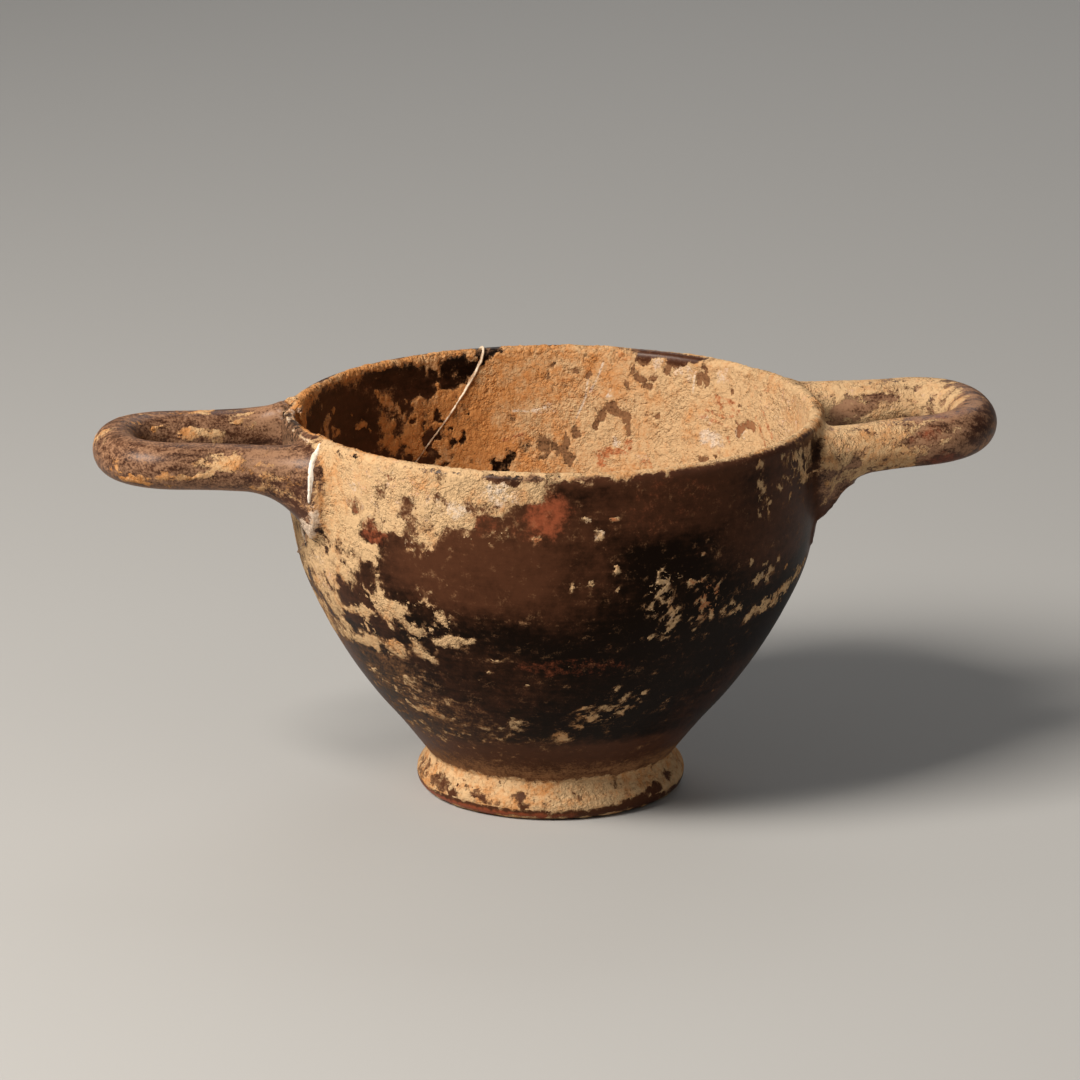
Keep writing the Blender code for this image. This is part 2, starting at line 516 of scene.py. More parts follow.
@dataclass(frozen=True)
class Sherd:
    """The mended piece of the bowl that carries the left handle, set a little out and low by its menders."""

    far_break: float = 169.6  # degrees of azimuth
    near_break: float = 197.6
    out_far: float = 1.5 * MM
    out_near: float = 0.5 * MM
    down_far: float = 0.9 * MM
    down_near: float = 0.2 * MM
    lowest: float = 0.058
    highest: float = 0.074
    step: float = 0.5  # degrees over which the break's step rises

    def within(self, azimuth: Array, height: Array) -> Array:
        """1 on the sherd, 0 off it.

        Args:
            azimuth: degrees.
            height: metres.

        Returns:
            One value a place.
        """
        sideways = smooth(self.far_break, self.far_break + self.step, azimuth)
        sideways *= 1 - smooth(self.near_break - self.step, self.near_break, azimuth)
        return sideways * smooth(self.lowest, self.highest, height)

    def offsets(self, azimuth: Array, height: Array) -> tuple[Array, Array]:
        """How far the wall is set outwards and downwards at each place.

        Args:
            azimuth: degrees.
            height: metres.

        Returns:
            Metres outwards and metres downwards.
        """
        across = np.clip((azimuth - self.far_break) / (self.near_break - self.far_break), 0.0, 1.0)
        share = self.within(azimuth, height)
        return (
            share * lerp(self.out_far, self.out_near, across),
            share * lerp(self.down_far, self.down_near, across),
        )


class CupSurface:
    """The cup's fired surface as a formula: how far a point is from it, and which way it faces."""

    FILLET = 2.4 * MM
    WOBBLE = 0.16 * MM
    PROBE = 0.12 * MM
    HANDLE_REACH = 9.0 * MM
    HANDLE_LOWEST = 0.055

    def __init__(self) -> None:
        """Measures the turned form once."""
        self.form = TurnedForm()
        self.solid = DistanceChart(self.form.profile())
        self.core = DistanceChart(self.form.core())
        self.handles = (LEFT_HANDLE, RIGHT_HANDLE)
        self.sherd = Sherd()

    def upright(self, points: Array) -> Array:
        """The points with the bowl's lean towards +X taken out."""
        lean = self.form.rim_shift / self.form.rim_height
        return points - np.stack([points[:, 2] * lean, np.zeros(len(points)), np.zeros(len(points))], axis=1)

    def azimuth(self, points: Array) -> Array:
        """Degrees round the bowl's own axis, from +X towards +Y."""
        upright = self.upright(points)
        return np.degrees(np.arctan2(upright[:, 1], upright[:, 0])) % 360

    def wheel(self, points: Array) -> tuple[Array, Array]:
        """Radius and height at which the turned outline is read, with the hand's unevenness in it.

        Args:
            points: places in metres, one a row.

        Returns:
            The two in metres.
        """
        upright = self.upright(points)
        radius = np.hypot(upright[:, 0], upright[:, 1])
        height = points[:, 2]
        round_angle = np.arctan2(upright[:, 1], upright[:, 0])
        outwards, downwards = self.sherd.offsets(np.degrees(round_angle) % 360, height)
        up_share = np.clip(height / self.form.rim_height, 0.0, 1.0)
        uneven = np.sin(2 * round_angle + 0.8 + 3 * up_share) + 0.6 * np.sin(5 * round_angle + 7 * up_share)
        return radius - outwards - self.WOBBLE * uneven * up_share, height + downwards

    def near_handle(self, upright: Array, handle: LoopHandle) -> Array:
        """Numbers of the points that can be on a handle or in the round where it joins the wall.

        Args:
            upright: points in the upright frame of the bowl.
            handle: the handle.

        Returns:
            Indices of those points.
        """
        outwards = upright[:, 0] * handle.side > handle.wall_x - self.HANDLE_REACH
        sideways = np.abs(upright[:, 1]) < handle.root_spread / 2 + 2 * self.HANDLE_REACH
        return np.flatnonzero(outwards & sideways & (upright[:, 2] > self.HANDLE_LOWEST))

    def handle_distance(self, upright: Array) -> Array:
        """Distance from the nearer handle with its webs.

        Args:
            upright: points in the upright frame of the bowl.

        Returns:
            Metres, large away from the handles.
        """
        distance = np.full(len(upright), 0.05)
        for handle in self.handles:
            close = self.near_handle(upright, handle)
            if len(close):
                distance[close] = handle.distance(upright[close])
        for web in WEBS:
            close = np.flatnonzero(distance < self.HANDLE_REACH)
            if len(close):
                distance[close] = self.blend(distance[close], web.distance(upright[close]), self.FILLET)
        return distance

    def bar_places(self, points: Array) -> tuple[Array, Array]:
        """Millimetres along the handle's bar and degrees round it, 0 for points off the handles.

        Args:
            points: places in metres, one a row.

        Returns:
            The two, one value a point.
        """
        upright = self.upright(points)
        along, around = np.zeros(len(points)), np.zeros(len(points))
        for handle in self.handles:
            close = self.near_handle(upright, handle)
            if len(close):
                share, aside, foot = handle.follow(upright[close])
                lift = upright[close, 2] - handle.middle_height(foot[:, 0], foot[:, 1])
                along[close] = share * handle.length / MM
                around[close] = np.degrees(np.arctan2(lift, aside))
        return along, around

    @staticmethod
    def blend(first: Array, second: Array, width: Any) -> Array:
        """The smaller of two distances, rounded over where they are about equal.

        Args:
            first: one distance in metres.
            second: the other.
            width: how alike they are where the round begins.

        Returns:
            The joined distance.
        """
        width = np.maximum(width, 1e-7)
        overlap = np.clip(width - np.abs(first - second), 0.0, None) / width
        return np.minimum(first, second) - overlap**2 * width / 4

    def distance(self, points: Array) -> Array:
        """Signed distance from the fired surface.

        Args:
            points: places in metres, one a row.

        Returns:
            Metres, negative in the clay.
        """
        radius, height = self.wheel(points)
        bowl = self.solid.at(radius, height)
        core = self.core.at(radius, height)
        handles = np.maximum(self.handle_distance(self.upright(points)), -core)
        share = np.clip(core / (self.form.wall / 2), 0.0, 1.0)
        return self.blend(bowl, handles, self.FILLET * share)

    def facing(self, points: Array) -> Array:
        """Unit normals, from the way the distance grows.

        Args:
            points: places in metres, one a row.

        Returns:
            A unit vector for each, one a row.
        """
        ways = np.array(((1, -1, -1), (-1, -1, 1), (-1, 1, -1), (1, 1, 1)), float)
        slope = sum(way * self.distance(points + way * self.PROBE)[:, None] for way in ways)
        return slope / np.maximum(np.linalg.norm(slope, axis=1, keepdims=True), 1e-9)

    def settle(self, points: Array, rounds: int = 3) -> Array:
        """The points moved onto the surface.

        Args:
            points: places in metres, near the surface.
            rounds: how many times they are moved.

        Returns:
            Their new places.
        """
        for _ in range(rounds):
            points = points - self.distance(points)[:, None] * self.facing(points)
        return points

    def innerness(self, points: Array) -> Array:
        """1 on the face that looks at the bowl's axis, 0 on the other, changing over the top of the lip."""
        return smooth(0.7 * MM, -0.7 * MM, self.core.at(*self.wheel(points)))

    def on_handle(self, points: Array) -> Array:
        """0 on the bowl, 1 on a handle, with a soft change over the root.

        Args:
            points: places in metres, one a row.

        Returns:
            One value a place.
        """
        upright = self.upright(points)
        bowl = self.solid.at(*self.wheel(points))
        return smooth(0.5 * MM, 2.5 * MM, bowl - np.maximum(self.handle_distance(upright), 0))


@dataclass(frozen=True)
class Patch:
    """A blot on the wall of the bowl, placed in degrees of azimuth and millimetres of height."""

    azimuth: float
    height: float
    across: float  # half its width, millimetres
    up: float  # half its height, millimetres
    amount: float = 1.0
    lean: float = 0.0  # degrees that it turns from level, seen from its own side

    EDGE = (1.35, 0.7)

    def cover(self, azimuth: Array, height: Array, radius: Array) -> Array:
        """How strongly it covers each place, 0 to its amount.

        Args:
            azimuth: degrees.
            height: millimetres.
            radius: millimetres from the axis, for the length of a degree.

        Returns:
            One value a place.
        """
        around = (azimuth - self.azimuth + 180) % 360 - 180
        x = np.radians(around) * radius
        y = height - self.height
        turn = math.radians(self.lean)
        along = (x * math.cos(turn) + y * math.sin(turn)) / self.across
        aside = (y * math.cos(turn) - x * math.sin(turn)) / self.up
        reach, soft = self.EDGE
        return self.amount * np.clip((reach - np.hypot(along, aside)) / soft, 0.0, 1.0)


def blots(*rows: Sequence[float]) -> tuple[Patch, ...]:
    """Patches on the bowl, each row the values of one in the order of its fields."""
    return tuple(Patch(*row) for row in rows)


def strongest(patches: Iterable[Patch], azimuth: Array, height: Array, radius: Array) -> Array:
    """The strongest cover of several patches at each place.

    Args:
        patches: what may cover the places.
        azimuth: degrees.
        height: millimetres.
        radius: millimetres from the axis.

    Returns:
        One value a place.
    """
    total = np.zeros(len(azimuth))
    for patch in patches:
        total = np.maximum(total, patch.cover(azimuth, height, radius))
    return total


# Earth on the outside, from the left handle round the front to the right one
OUTSIDE_EARTH = blots(
    (211, 77, 11.5, 12.5), (207, 85, 3.6, 4), (201.4, 86.4, 2.4, 1.6, 0.8), (218, 84.5, 8, 4.5),
    (230, 84, 9, 4.2, 0.95), (243, 83.5, 8, 4, 0.85), (254, 84.3, 7, 3.2, 0.8), (268, 86.9, 10, 0.9, 0.75),
    (282, 87.4, 7, 0.5, 0.6), (226, 77, 6, 5, 0.75), (235, 77, 5, 4.5, 0.72), (232, 72.5, 6, 2.6, 0.7),
    (241, 77, 5, 3.2, 0.72, 10), (248, 79.5, 5, 2.4, 0.62), (222, 72.5, 4, 3, 0.7), (218, 66, 5, 2.6, 0.85),
    (222.5, 64, 3.5, 1.5, 0.75), (200, 59, 11, 8, 0.72), (199, 53, 8, 4.5, 0.68), (212, 62, 7, 2.2, 0.68),
    (210, 58.6, 5, 1.6, 0.66), (203, 50, 6, 2.4, 0.6), (197, 45, 8, 5, 0.58),
    (221.5, 59, 1.8, 3.6, 0.72, -10), (222.5, 53.5, 4.6, 3, 0.78), (212, 50.8, 5, 1.2, 0.72, 12),
    (228, 50.5, 4, 1.7, 0.68, -20), (227.5, 45, 5, 2.2, 0.66, -38), (221.5, 43.5, 3.2, 3.4, 0.7),
    (212, 43, 4.5, 2.4, 0.75, 8), (206.5, 42.6, 3, 1.5, 0.66, 10), (236, 47.5, 4.5, 1.6, 0.7, 8),
    (241.5, 48.8, 2.6, 0.8, 0.72, 8), (236.3, 52.8, 3.4, 0.8, 0.72, -42), (234, 54.4, 1, 0.6, 0.7),
    (249, 44, 2.4, 0.6, 0.56), (221, 36.5, 4, 3, 0.32), (222, 28.5, 4.4, 3.4, 0.42),
    (217, 26.3, 3, 1, 0.66, -10), (227, 25.6, 4, 1, 0.6, 5), (206.6, 34.5, 1.2, 0.6, 0.9, 8),
    (213.7, 28, 1, 0.7, 0.85), (230, 31, 5, 0.9, 0.4), (207, 20.5, 5, 1.2, 0.35, 6),
    (216, 20, 6, 2.4, 0.25), (186, 60, 9, 10, 0.62), (187, 44, 8, 7, 0.5), (269, 77, 1, 0.7, 0.85, -40),
    (270.7, 74.6, 0.6, 1.4, 0.85, 12), (274.2, 77, 1.3, 0.35, 0.85, 4), (258, 73.4, 0.8, 0.4, 0.75),
    (275.1, 66.4, 0.6, 0.6, 0.85), (266, 62, 0.5, 0.4, 0.8), (266.6, 63.3, 0.3, 0.5, 0.7),
    (269.8, 62.9, 0.7, 0.3, 0.8), (276.3, 60.2, 0.5, 0.3, 0.8), (275, 61, 0.4, 0.4, 0.7),
    (245.5, 40.3, 0.6, 0.4, 0.7), (242.6, 38.2, 0.35, 0.35, 0.85), (255.5, 37.4, 0.4, 0.5, 0.6),
    (266, 42.2, 0.8, 0.25, 0.6), (283.4, 67, 0.5, 0.7, 0.85), (284, 64.6, 0.4, 1.8, 0.66, 12),
    (285.3, 65.2, 0.8, 0.7, 0.6), (286.8, 60.6, 2.2, 1, 0.56), (286, 58, 2, 0.6, 0.6, -38),
    (288.2, 58.2, 1.1, 1.4, 0.56), (284.6, 60, 0.9, 0.5, 0.8, 20), (289, 63.1, 0.9, 0.3, 0.7),
    (288.2, 54, 0.6, 2.4, 0.58, 6), (290, 55.4, 0.9, 0.4, 0.55), (289.6, 51.4, 1.1, 1.1, 0.6),
    (284.5, 49.2, 1.3, 0.7, 0.74, 20), (287.5, 48.6, 1.6, 0.5, 0.68), (292.2, 61, 1, 1, 0.74),
    (295, 61.6, 2.2, 0.35, 0.7, 16), (294.2, 59.2, 1.8, 0.4, 0.7, -48), (297.2, 55.8, 2.4, 0.4, 0.74, -50),
    (299, 52.8, 0.5, 1.6, 0.76, 10), (301.8, 52.2, 1.3, 1, 0.55), (305.6, 54.2, 2.4, 0.45, 0.6, -8),
    (305.6, 51.6, 2, 0.5, 0.72, 12), (294.6, 49.3, 0.9, 0.3, 0.66), (294.7, 67.1, 0.9, 0.28, 0.8),
    (295.8, 70.4, 0.4, 0.2, 0.6), (308.2, 64.9, 0.5, 0.3, 0.66), (309.6, 63.4, 0.4, 0.7, 0.6),
    (312.2, 58, 2.8, 0.5, 0.76, 4), (316.6, 59.6, 1.3, 1, 0.6), (318.4, 61.2, 1, 0.4, 0.62),
    (312.8, 49.8, 1.6, 1.5, 0.7), (317, 49.6, 3, 0.9, 0.6, -10), (320.4, 51, 2.4, 0.8, 0.62, 8),
    (322.4, 50.2, 2, 0.8, 0.68, 16), (326, 53, 4, 1.1, 0.6, 8), (333.5, 54.8, 5.2, 1.1, 0.56, 10),
    (328, 56.6, 1.8, 0.8, 0.55), (323.2, 58.4, 1.3, 0.4, 0.62), (309.6, 80.4, 1.2, 0.6, 0.72, -40),
    (310.6, 78.9, 0.6, 0.9, 0.66), (313.3, 74.6, 0.35, 1.7, 0.7), (316.4, 78.6, 1.8, 0.5, 0.6),
    (319.4, 79.8, 1.6, 0.3, 0.55), (321.6, 75.4, 0.6, 0.9, 0.86), (309, 85.2, 1.6, 0.5, 0.72, -40),
    (317.2, 85, 0.7, 0.4, 0.66), (324.4, 82.4, 3.6, 0.8, 0.78, -44), (325.5, 84.2, 1.4, 0.8, 0.68),
    (328.6, 77.8, 3.4, 1, 0.78, -12), (333, 77.6, 1.4, 0.8, 0.7), (330, 83, 3, 2.6, 0.55),
    (345, 81, 10, 9, 0.74), (350, 68, 9, 8, 0.4), (339, 86.2, 7, 2, 0.7), (264.6, 22.6, 3, 1.8, 0.5),
    (270.8, 25.9, 0.9, 0.6, 0.66), (273.2, 28.8, 1.6, 0.8, 0.72), (276.8, 30.6, 3.2, 0.6, 0.6, 22),
    (270.8, 31.3, 1.4, 0.4, 0.56), (281.4, 34, 1.3, 0.6, 0.62), (287.8, 34, 0.9, 0.6, 0.58),
    (283.4, 28.6, 1.6, 0.5, 0.52, -20), (279, 36.6, 0.6, 0.4, 0.5), (246, 22.4, 2.4, 0.5, 0.55, 14),
    (252, 26, 2.6, 1.6, 0.48),
)

# Where earth stayed as a fine net
OUTSIDE_LACE = blots(
    (285.4, 60, 3.6, 6.5, 0.95, -8), (288.2, 53, 2.6, 4, 0.85), (297, 56, 3.6, 6, 0.75, -35),
    (305.4, 52.6, 4.2, 2.2, 0.85), (314, 58.8, 4.2, 2.2, 0.85), (321, 51.2, 9, 2.6, 0.95, 8),
    (331, 54.4, 8, 2.6, 0.9, 10), (311, 77, 3, 6, 0.62), (325, 81, 7, 5, 0.8, -40),
    (285.6, 49.2, 4.6, 1.3, 0.85, 8), (275, 29, 6, 3, 0.62, 10), (284, 32, 6, 3, 0.55),
    (222, 52, 16, 9, 0.85), (212, 36, 14, 9, 0.5), (222, 22, 22, 8, 0.42), (246, 76, 8, 5, 0.6),
    (230, 71, 12, 5, 0.62),
)

# Bare slip within the earth of the outside
OUTSIDE_BARE = blots(
    (215.9, 86.9, 1.6, 0.7, 0.95), (229.6, 87, 1.5, 0.6, 0.95), (251.5, 86.2, 3.6, 0.8, 0.9),
    (270, 86.9, 4, 0.7, 0.8), (215.6, 75.4, 2.6, 3, 0.72), (218.6, 71.2, 3, 3, 0.72),
    (225.5, 84.3, 1.8, 0.6, 0.5), (229, 77.6, 1.4, 2.2, 0.6), (230.4, 72.4, 2, 1.8, 0.6),
    (224.6, 70, 3, 1.6, 0.6), (247.2, 76.2, 2.6, 2.2, 0.7), (251, 86, 2.4, 0.9, 0.6), (226, 62, 4.4, 5.4),
    (216.8, 60.2, 2, 2.6, 0.8), (209.6, 61.7, 2, 0.6, 0.7), (207.2, 56.6, 1.6, 0.5, 0.6),
    (209.6, 54.2, 3.6, 2.2, 0.9, 10), (214.6, 53.6, 2.6, 1.4, 0.8), (207.4, 47.2, 3.4, 2, 0.8),
    (218.8, 47.8, 2.2, 2.2, 0.7), (224.4, 47, 1.6, 2.4, 0.7), (231, 53.6, 2.8, 2.2, 0.8),
    (231, 46, 2.4, 2, 0.6), (191.6, 61.6, 1.4, 0.7, 0.7), (203, 62.2, 0.8, 0.7, 0.6),
    (201.6, 54.9, 0.7, 0.6, 0.7), (190.4, 53.4, 1.4, 1.2, 0.8, -40), (198.4, 64.9, 2.6, 0.45, 0.9, -16),
    (196.6, 47, 1.4, 1.4, 0.8, -40), (204, 67, 0.5, 0.5, 0.5), (201, 77.6, 0.4, 0.6, 0.7),
    (213, 38, 9, 2.2, 0.8),
)

# Earth inside lies everywhere but where these leave the slip bare
INSIDE_BARE = blots(
    (28.6, 74.4, 2.4, 1.3, 1, 8), (31.8, 73.6, 1.4, 1.6, 0.95), (29.8, 75.4, 0.7, 0.8, 0.9),
    (42.6, 64.8, 1.3, 0.8, 0.95, 10), (38.8, 65, 1, 0.4, 0.7), (43.8, 83.6, 0.8, 2.6, 0.9),
    (45.6, 82.6, 0.7, 1.9, 0.9), (35.4, 81.3, 0.6, 1, 0.85), (25.6, 82.7, 0.9, 0.5, 0.85, 10),
    (32.4, 79.1, 1, 0.5, 0.7), (24.7, 77.4, 0.3, 0.5, 0.8), (21, 80.6, 0.6, 0.3, 0.6),
    (56.5, 72.4, 0.8, 0.8, 0.9), (59.2, 72.8, 0.3, 0.5, 0.7), (57.6, 81, 0.8, 0.9, 0.9),
    (60.6, 81.4, 1.5, 0.8, 0.9, 24), (62.8, 82.8, 1, 1.1, 0.9), (63.6, 81.2, 0.7, 0.5, 0.8),
    (59.4, 79.4, 1, 0.8, 0.8, -20), (62.8, 78.2, 1.3, 0.6, 0.9, -16), (64.8, 79, 0.7, 0.8, 0.85),
    (64.6, 71.8, 1.2, 1.9, 1, -24), (63.6, 68.9, 1, 1.3, 0.95, 10), (67.4, 73.6, 2.6, 1.3, 1, 28),
    (69.6, 74.2, 0.6, 1.3, 0.9), (70.8, 71.4, 1.2, 2.1, 1, -14), (71.9, 69, 0.8, 0.8, 0.9),
    (67, 56.6, 1, 0.6, 0.9), (71, 56.4, 1.5, 0.4, 0.9), (74.4, 56, 0.9, 0.4, 0.85),
    (76.6, 67.8, 1, 1.4, 0.8, -10), (79, 66.4, 0.7, 1.6, 0.85, -14), (79.4, 63.4, 1, 1.9, 0.95),
    (78, 61.4, 1.4, 1.3), (81.4, 64, 0.7, 1.9, 0.85), (84.4, 64.6, 1.8, 2.2, 0.75, 10),
    (84.6, 61.6, 1.6, 1, 0.6), (79.2, 69.6, 0.5, 0.3, 0.9), (74.4, 84.8, 0.7, 0.35, 0.9),
    (73.8, 80.9, 0.6, 0.7, 0.75, 20), (77.2, 81.2, 0.7, 0.8, 0.8), (79, 78.4, 0.9, 0.7, 0.6),
    (76.4, 72.6, 0.3, 0.4, 0.8), (82.6, 83.2, 0.5, 1.2, 0.75), (83.2, 80.4, 0.6, 1, 0.6),
    (54, 87.6, 10.5, 1.5), (51, 86.4, 3, 1.4, 0.9), (54.2, 84.4, 0.9, 1.9, 0.8), (60.6, 86, 2, 1.9),
    (97, 86.9, 3.4, 1.2), (99, 84.8, 0.8, 1.4, 0.95), (92.8, 61.4, 1.4, 1.6, 0.95),
    (96, 60, 2.2, 1.4, 0.95), (93.8, 59, 1, 0.8, 0.7), (92.4, 70.8, 0.8, 1.3, 0.55, -50),
    (88.6, 64.4, 1.6, 1.4, 0.45), (105.4, 83.8, 4.4, 2.4, 0.86), (107.6, 81, 3.6, 1.8, 0.78),
    (103.2, 72.6, 1, 0.5, 0.7, 30), (104.4, 67.4, 1, 1.7, 0.72, -16), (107.2, 66.2, 1, 1.5, 0.7, -20),
    (107.4, 69.6, 0.8, 0.4, 0.6, 30), (111.2, 72.4, 0.7, 1.3, 0.86, -14), (113.4, 68, 1.8, 1.5, 0.9, -30),
    (113.2, 64.6, 1.3, 2.2, 0.9), (116.2, 62.6, 1.8, 1.2, 0.8), (110.2, 60.4, 1.6, 1, 0.7),
    (116.4, 82, 4.8, 3.4), (122, 82, 4, 3.6), (113.6, 78.8, 1.8, 1.2, 0.9), (117.6, 78.6, 2, 1.2, 0.8),
    (119.6, 75.8, 1.4, 1.8, 0.9, 24), (117.6, 73, 0.7, 0.9, 0.9), (121.6, 77.6, 0.7, 1.4, 0.8),
    (115.4, 71, 0.7, 1, 0.8), (122.8, 65.6, 1.4, 2, 0.9, 16), (119.6, 62.4, 1.2, 2.2, 0.9),
    (126, 64, 1.6, 1.6, 0.85), (147, 75, 21, 10.8), (140, 62, 14, 9, 0.9), (129, 84, 5, 2.4, 0.9),
)

# Earth that stayed in those bare places
INSIDE_EARTH = blots(
    (57, 85.4, 0.9, 1.7), (126.4, 75, 2.6, 6.5, 0.8, 8), (125, 69, 2.8, 3.6, 0.85),
    (128.6, 80.8, 0.45, 1.3, 0.9, -14), (127, 79, 1, 0.6, 0.9, 30), (121.8, 66.4, 0.6, 2, 0.8),
    (135, 74.5, 1.7, 1.1, 0.95, -10), (133.4, 73.8, 0.6, 0.6, 0.8), (138, 77.4, 0.7, 0.7, 0.8),
    (131.8, 78.2, 0.3, 0.7, 0.7), (131.4, 73, 0.4, 0.6, 0.6), (137, 71.6, 0.4, 0.6, 0.6),
    (145, 80, 1.5, 1, 0.86, -34), (148.4, 78.8, 2, 1.2, 0.86), (150, 76, 1.6, 3.2, 0.82, 10),
    (145, 75.6, 2.4, 1.2, 0.8, 10), (152.6, 75.4, 1, 2.4, 0.7), (151, 83, 0.5, 1.5, 0.66),
    (113.8, 84.2, 0.7, 2.2, 0.86), (131, 87.4, 34, 1.5, 0.95), (157, 86.2, 7, 1.8, 0.86),
    (138, 85.8, 6, 0.9, 0.7), (167, 84, 3.2, 4, 0.9), (164, 78, 1.8, 7, 0.7),
)

# Colours of the earth
PALE_INSIDE = blots(
    (40.5, 69.6, 3.6, 2.4), (31.2, 72.2, 2.2, 0.7, 0.9), (66.8, 65.8, 1.2, 1.5),
    (69, 76.6, 0.8, 0.8, 1, 20), (50, 84, 3.6, 2, 0.7), (57, 85, 1.2, 2, 0.6), (38.6, 84.6, 2.6, 2.4, 0.6),
    (60, 62.6, 1.8, 1, 0.5), (8, 80, 16, 10, 0.35), (42.6, 74, 3, 1.6, 0.5), (86, 72.6, 5, 0.9, 0.5),
    (92, 66.8, 2.6, 1.6, 0.4),
)
RED_INSIDE = blots(
    (67.6, 63.4, 4.4, 1.1, 0.95), (63.6, 65.4, 1.4, 1.8, 0.8), (70, 61.6, 1.3, 2.2, 0.9),
    (58.6, 61.4, 1.6, 1, 0.7), (68.6, 58, 1.6, 1.2, 0.6), (38, 78.6, 3.6, 0.8, 0.7, -6),
    (43.6, 74.6, 4, 0.5, 0.7, -18), (33, 77, 3, 0.8, 0.6, 10), (52.4, 70, 2.4, 3, 0.35),
    (68.2, 75.8, 0.9, 0.5, 0.7, -20), (25, 84, 4, 1.6, 0.4), (35, 70.4, 1, 0.4, 0.7),
    (65, 85.6, 4.4, 1.4, 0.5), (76, 76, 6, 10, 0.3),
)
PALE_OUTSIDE = blots(
    (250, 83, 4, 2.6, 0.8), (241, 79, 3, 2.2, 0.8), (236, 78, 4, 4, 0.4), (200.5, 69.6, 1.8, 2, 1.2),
    (191, 64, 2.4, 1.4), (214, 79.4, 1.2, 1.4, 0.6), (222, 80, 16, 8, 0.3), (209, 62, 1, 0.5, 0.9),
    (200, 57, 7, 5, 0.4), (270, 76, 2.6, 3.4, 0.7), (286, 58, 4, 10, 0.35), (230, 69.2, 2, 0.6, 0.6),
    (315, 59, 5, 1.8, 0.3),
)
RED_OUTSIDE = blots(
    (274.2, 77, 1.6, 0.8), (296, 57, 6, 6, 0.75), (258, 73.4, 1.2, 0.8, 0.9), (222, 28, 6, 5, 0.3),
    (345, 78, 12, 12, 0.3), (294.7, 67.1, 1.4, 0.6, 0.9), (229, 12, 20, 2.6, 0.3),
)

# Thin dust on the slip, low on the outside and beside the right handle
THIN_DUST = blots(
    (213, 34, 13, 10, 0.46), (226, 26, 16, 6, 0.36), (205, 22, 12, 6, 0.4), (348, 76, 7, 12, 0.7),
)

# Colours of the slip where the kiln or wear left it red, and where a brown film dulls it
REDDISH_SLIP = blots(
    (260, 79, 5, 5, 1.05), (256, 75.6, 5, 3.6, 0.5), (216.6, 75.4, 4, 4.4, 0.85), (220.4, 70.8, 4, 4, 0.7),
    (247, 77, 5, 4, 0.45), (266, 42.6, 11, 2.2, 0.52), (30, 74.2, 4.6, 3), (225.5, 84.3, 3.4, 1.6),
    (285, 80, 12, 7, 0.3),
)
BROWN_FILM = blots(
    (346, 70, 12, 18, 0.9), (300, 86, 50, 3, 0.85), (199, 86, 7, 4, 0.9), (245, 66, 24, 12, 0.9),
    (240, 78, 28, 10, 0.9), (262, 68, 14, 16, 0.6), (290, 80, 24, 8, 0.75), (320, 72, 24, 14, 0.7),
    (140, 70, 34, 20, 0.72), (235, 36, 30, 12, 0.34), (255, 15, 60, 6, 0.9), (230, 26, 20, 8, 0.45),
    (325, 26, 20, 12, 0.3), (212, 56, 16, 12, 0.5), (54, 76, 30, 14, 0.9), (180, 40, 20, 26, 0.6),
)


@dataclass(frozen=True)
class BarPatch:
    """A blot on a handle, placed by millimetres along its bar and degrees round it from its outer side."""

    along: float
    round: float
    length: float  # half of it, millimetres
    width: float  # half of it, millimetres
    amount: float = 1.0

    def cover(self, along: Array, around: Array, radius: float) -> Array:
        """How strongly it covers each place of a bar of that radius in millimetres.

        Args:
            along: millimetres along the bar.
            around: degrees round it.
            radius: millimetres.

        Returns:
            One value a place.
        """
        turned = (around - self.round + 180) % 360 - 180
        x = (along - self.along) / self.length
        y = np.radians(turned) * radius / self.width
        reach, soft = Patch.EDGE
        return self.amount * np.clip((reach - np.hypot(x, y)) / soft, 0.0, 1.0)


def bar_blots(*rows: Sequence[float]) -> tuple[BarPatch, ...]:
    """Patches on a handle, each row the values of one in the order of its fields."""
    return tuple(BarPatch(*row) for row in rows)


# Earth on the handles; 90 degrees is the bar's top, 0 its outer side and 180 the side of the finger gap
LEFT_HANDLE_EARTH = bar_blots(
    (28.3, 99, 1.9, 1.1), (25.6, 92, 0.6, 0.4, 0.9), (30.6, 104, 0.8, 0.4, 0.9), (19.2, 116, 1.9, 0.5),
    (20.8, 138, 2.2, 0.35, 0.9), (32, 168, 3, 2.2, 0.58), (27, 176, 2, 1.6, 0.46),
    (40.5, 152, 4.2, 0.35, 0.95), (14, 60, 4, 3, 0.4), (60, 50, 4, 2.4, 0.34), (55, 20, 3, 2, 0.36),
    (67.2, -11, 0.45, 0.45), (68.9, -11, 0.75, 0.65), (71.6, -34, 3.4, 0.8), (74.6, -40, 1.8, 0.6, 0.95),
    (78.2, -41, 1.7, 0.5), (80.6, -40, 0.4, 0.3, 0.9), (82, -38, 0.4, 0.3, 0.8),
    (75.8, -16, 3.4, 1.9, 0.32), (84, -8, 5, 0.5, 0.56), (87.4, -3, 0.55, 0.45), (85.5, 22, 4.4, 1.5, 0.5),
    (91.5, 26, 5, 1.8, 0.5), (88, 42, 8, 0.8, 0.5), (98, 10, 6, 4, 0.24), (103, -40, 5, 4, 0.16),
    (97, -34, 6, 1, 0.42), (108.2, -88, 1.5, 3.2, 1.4), (109.6, -46, 0.8, 3.4, 0.9),
)
LEFT_HANDLE_BARE = bar_blots(
    (80, 4, 9, 0.8, 0.8), (75, 60, 12, 3, 0.7), (66, -30, 3, 2.4, 0.7), (84, -60, 14, 2.6, 0.8),
)
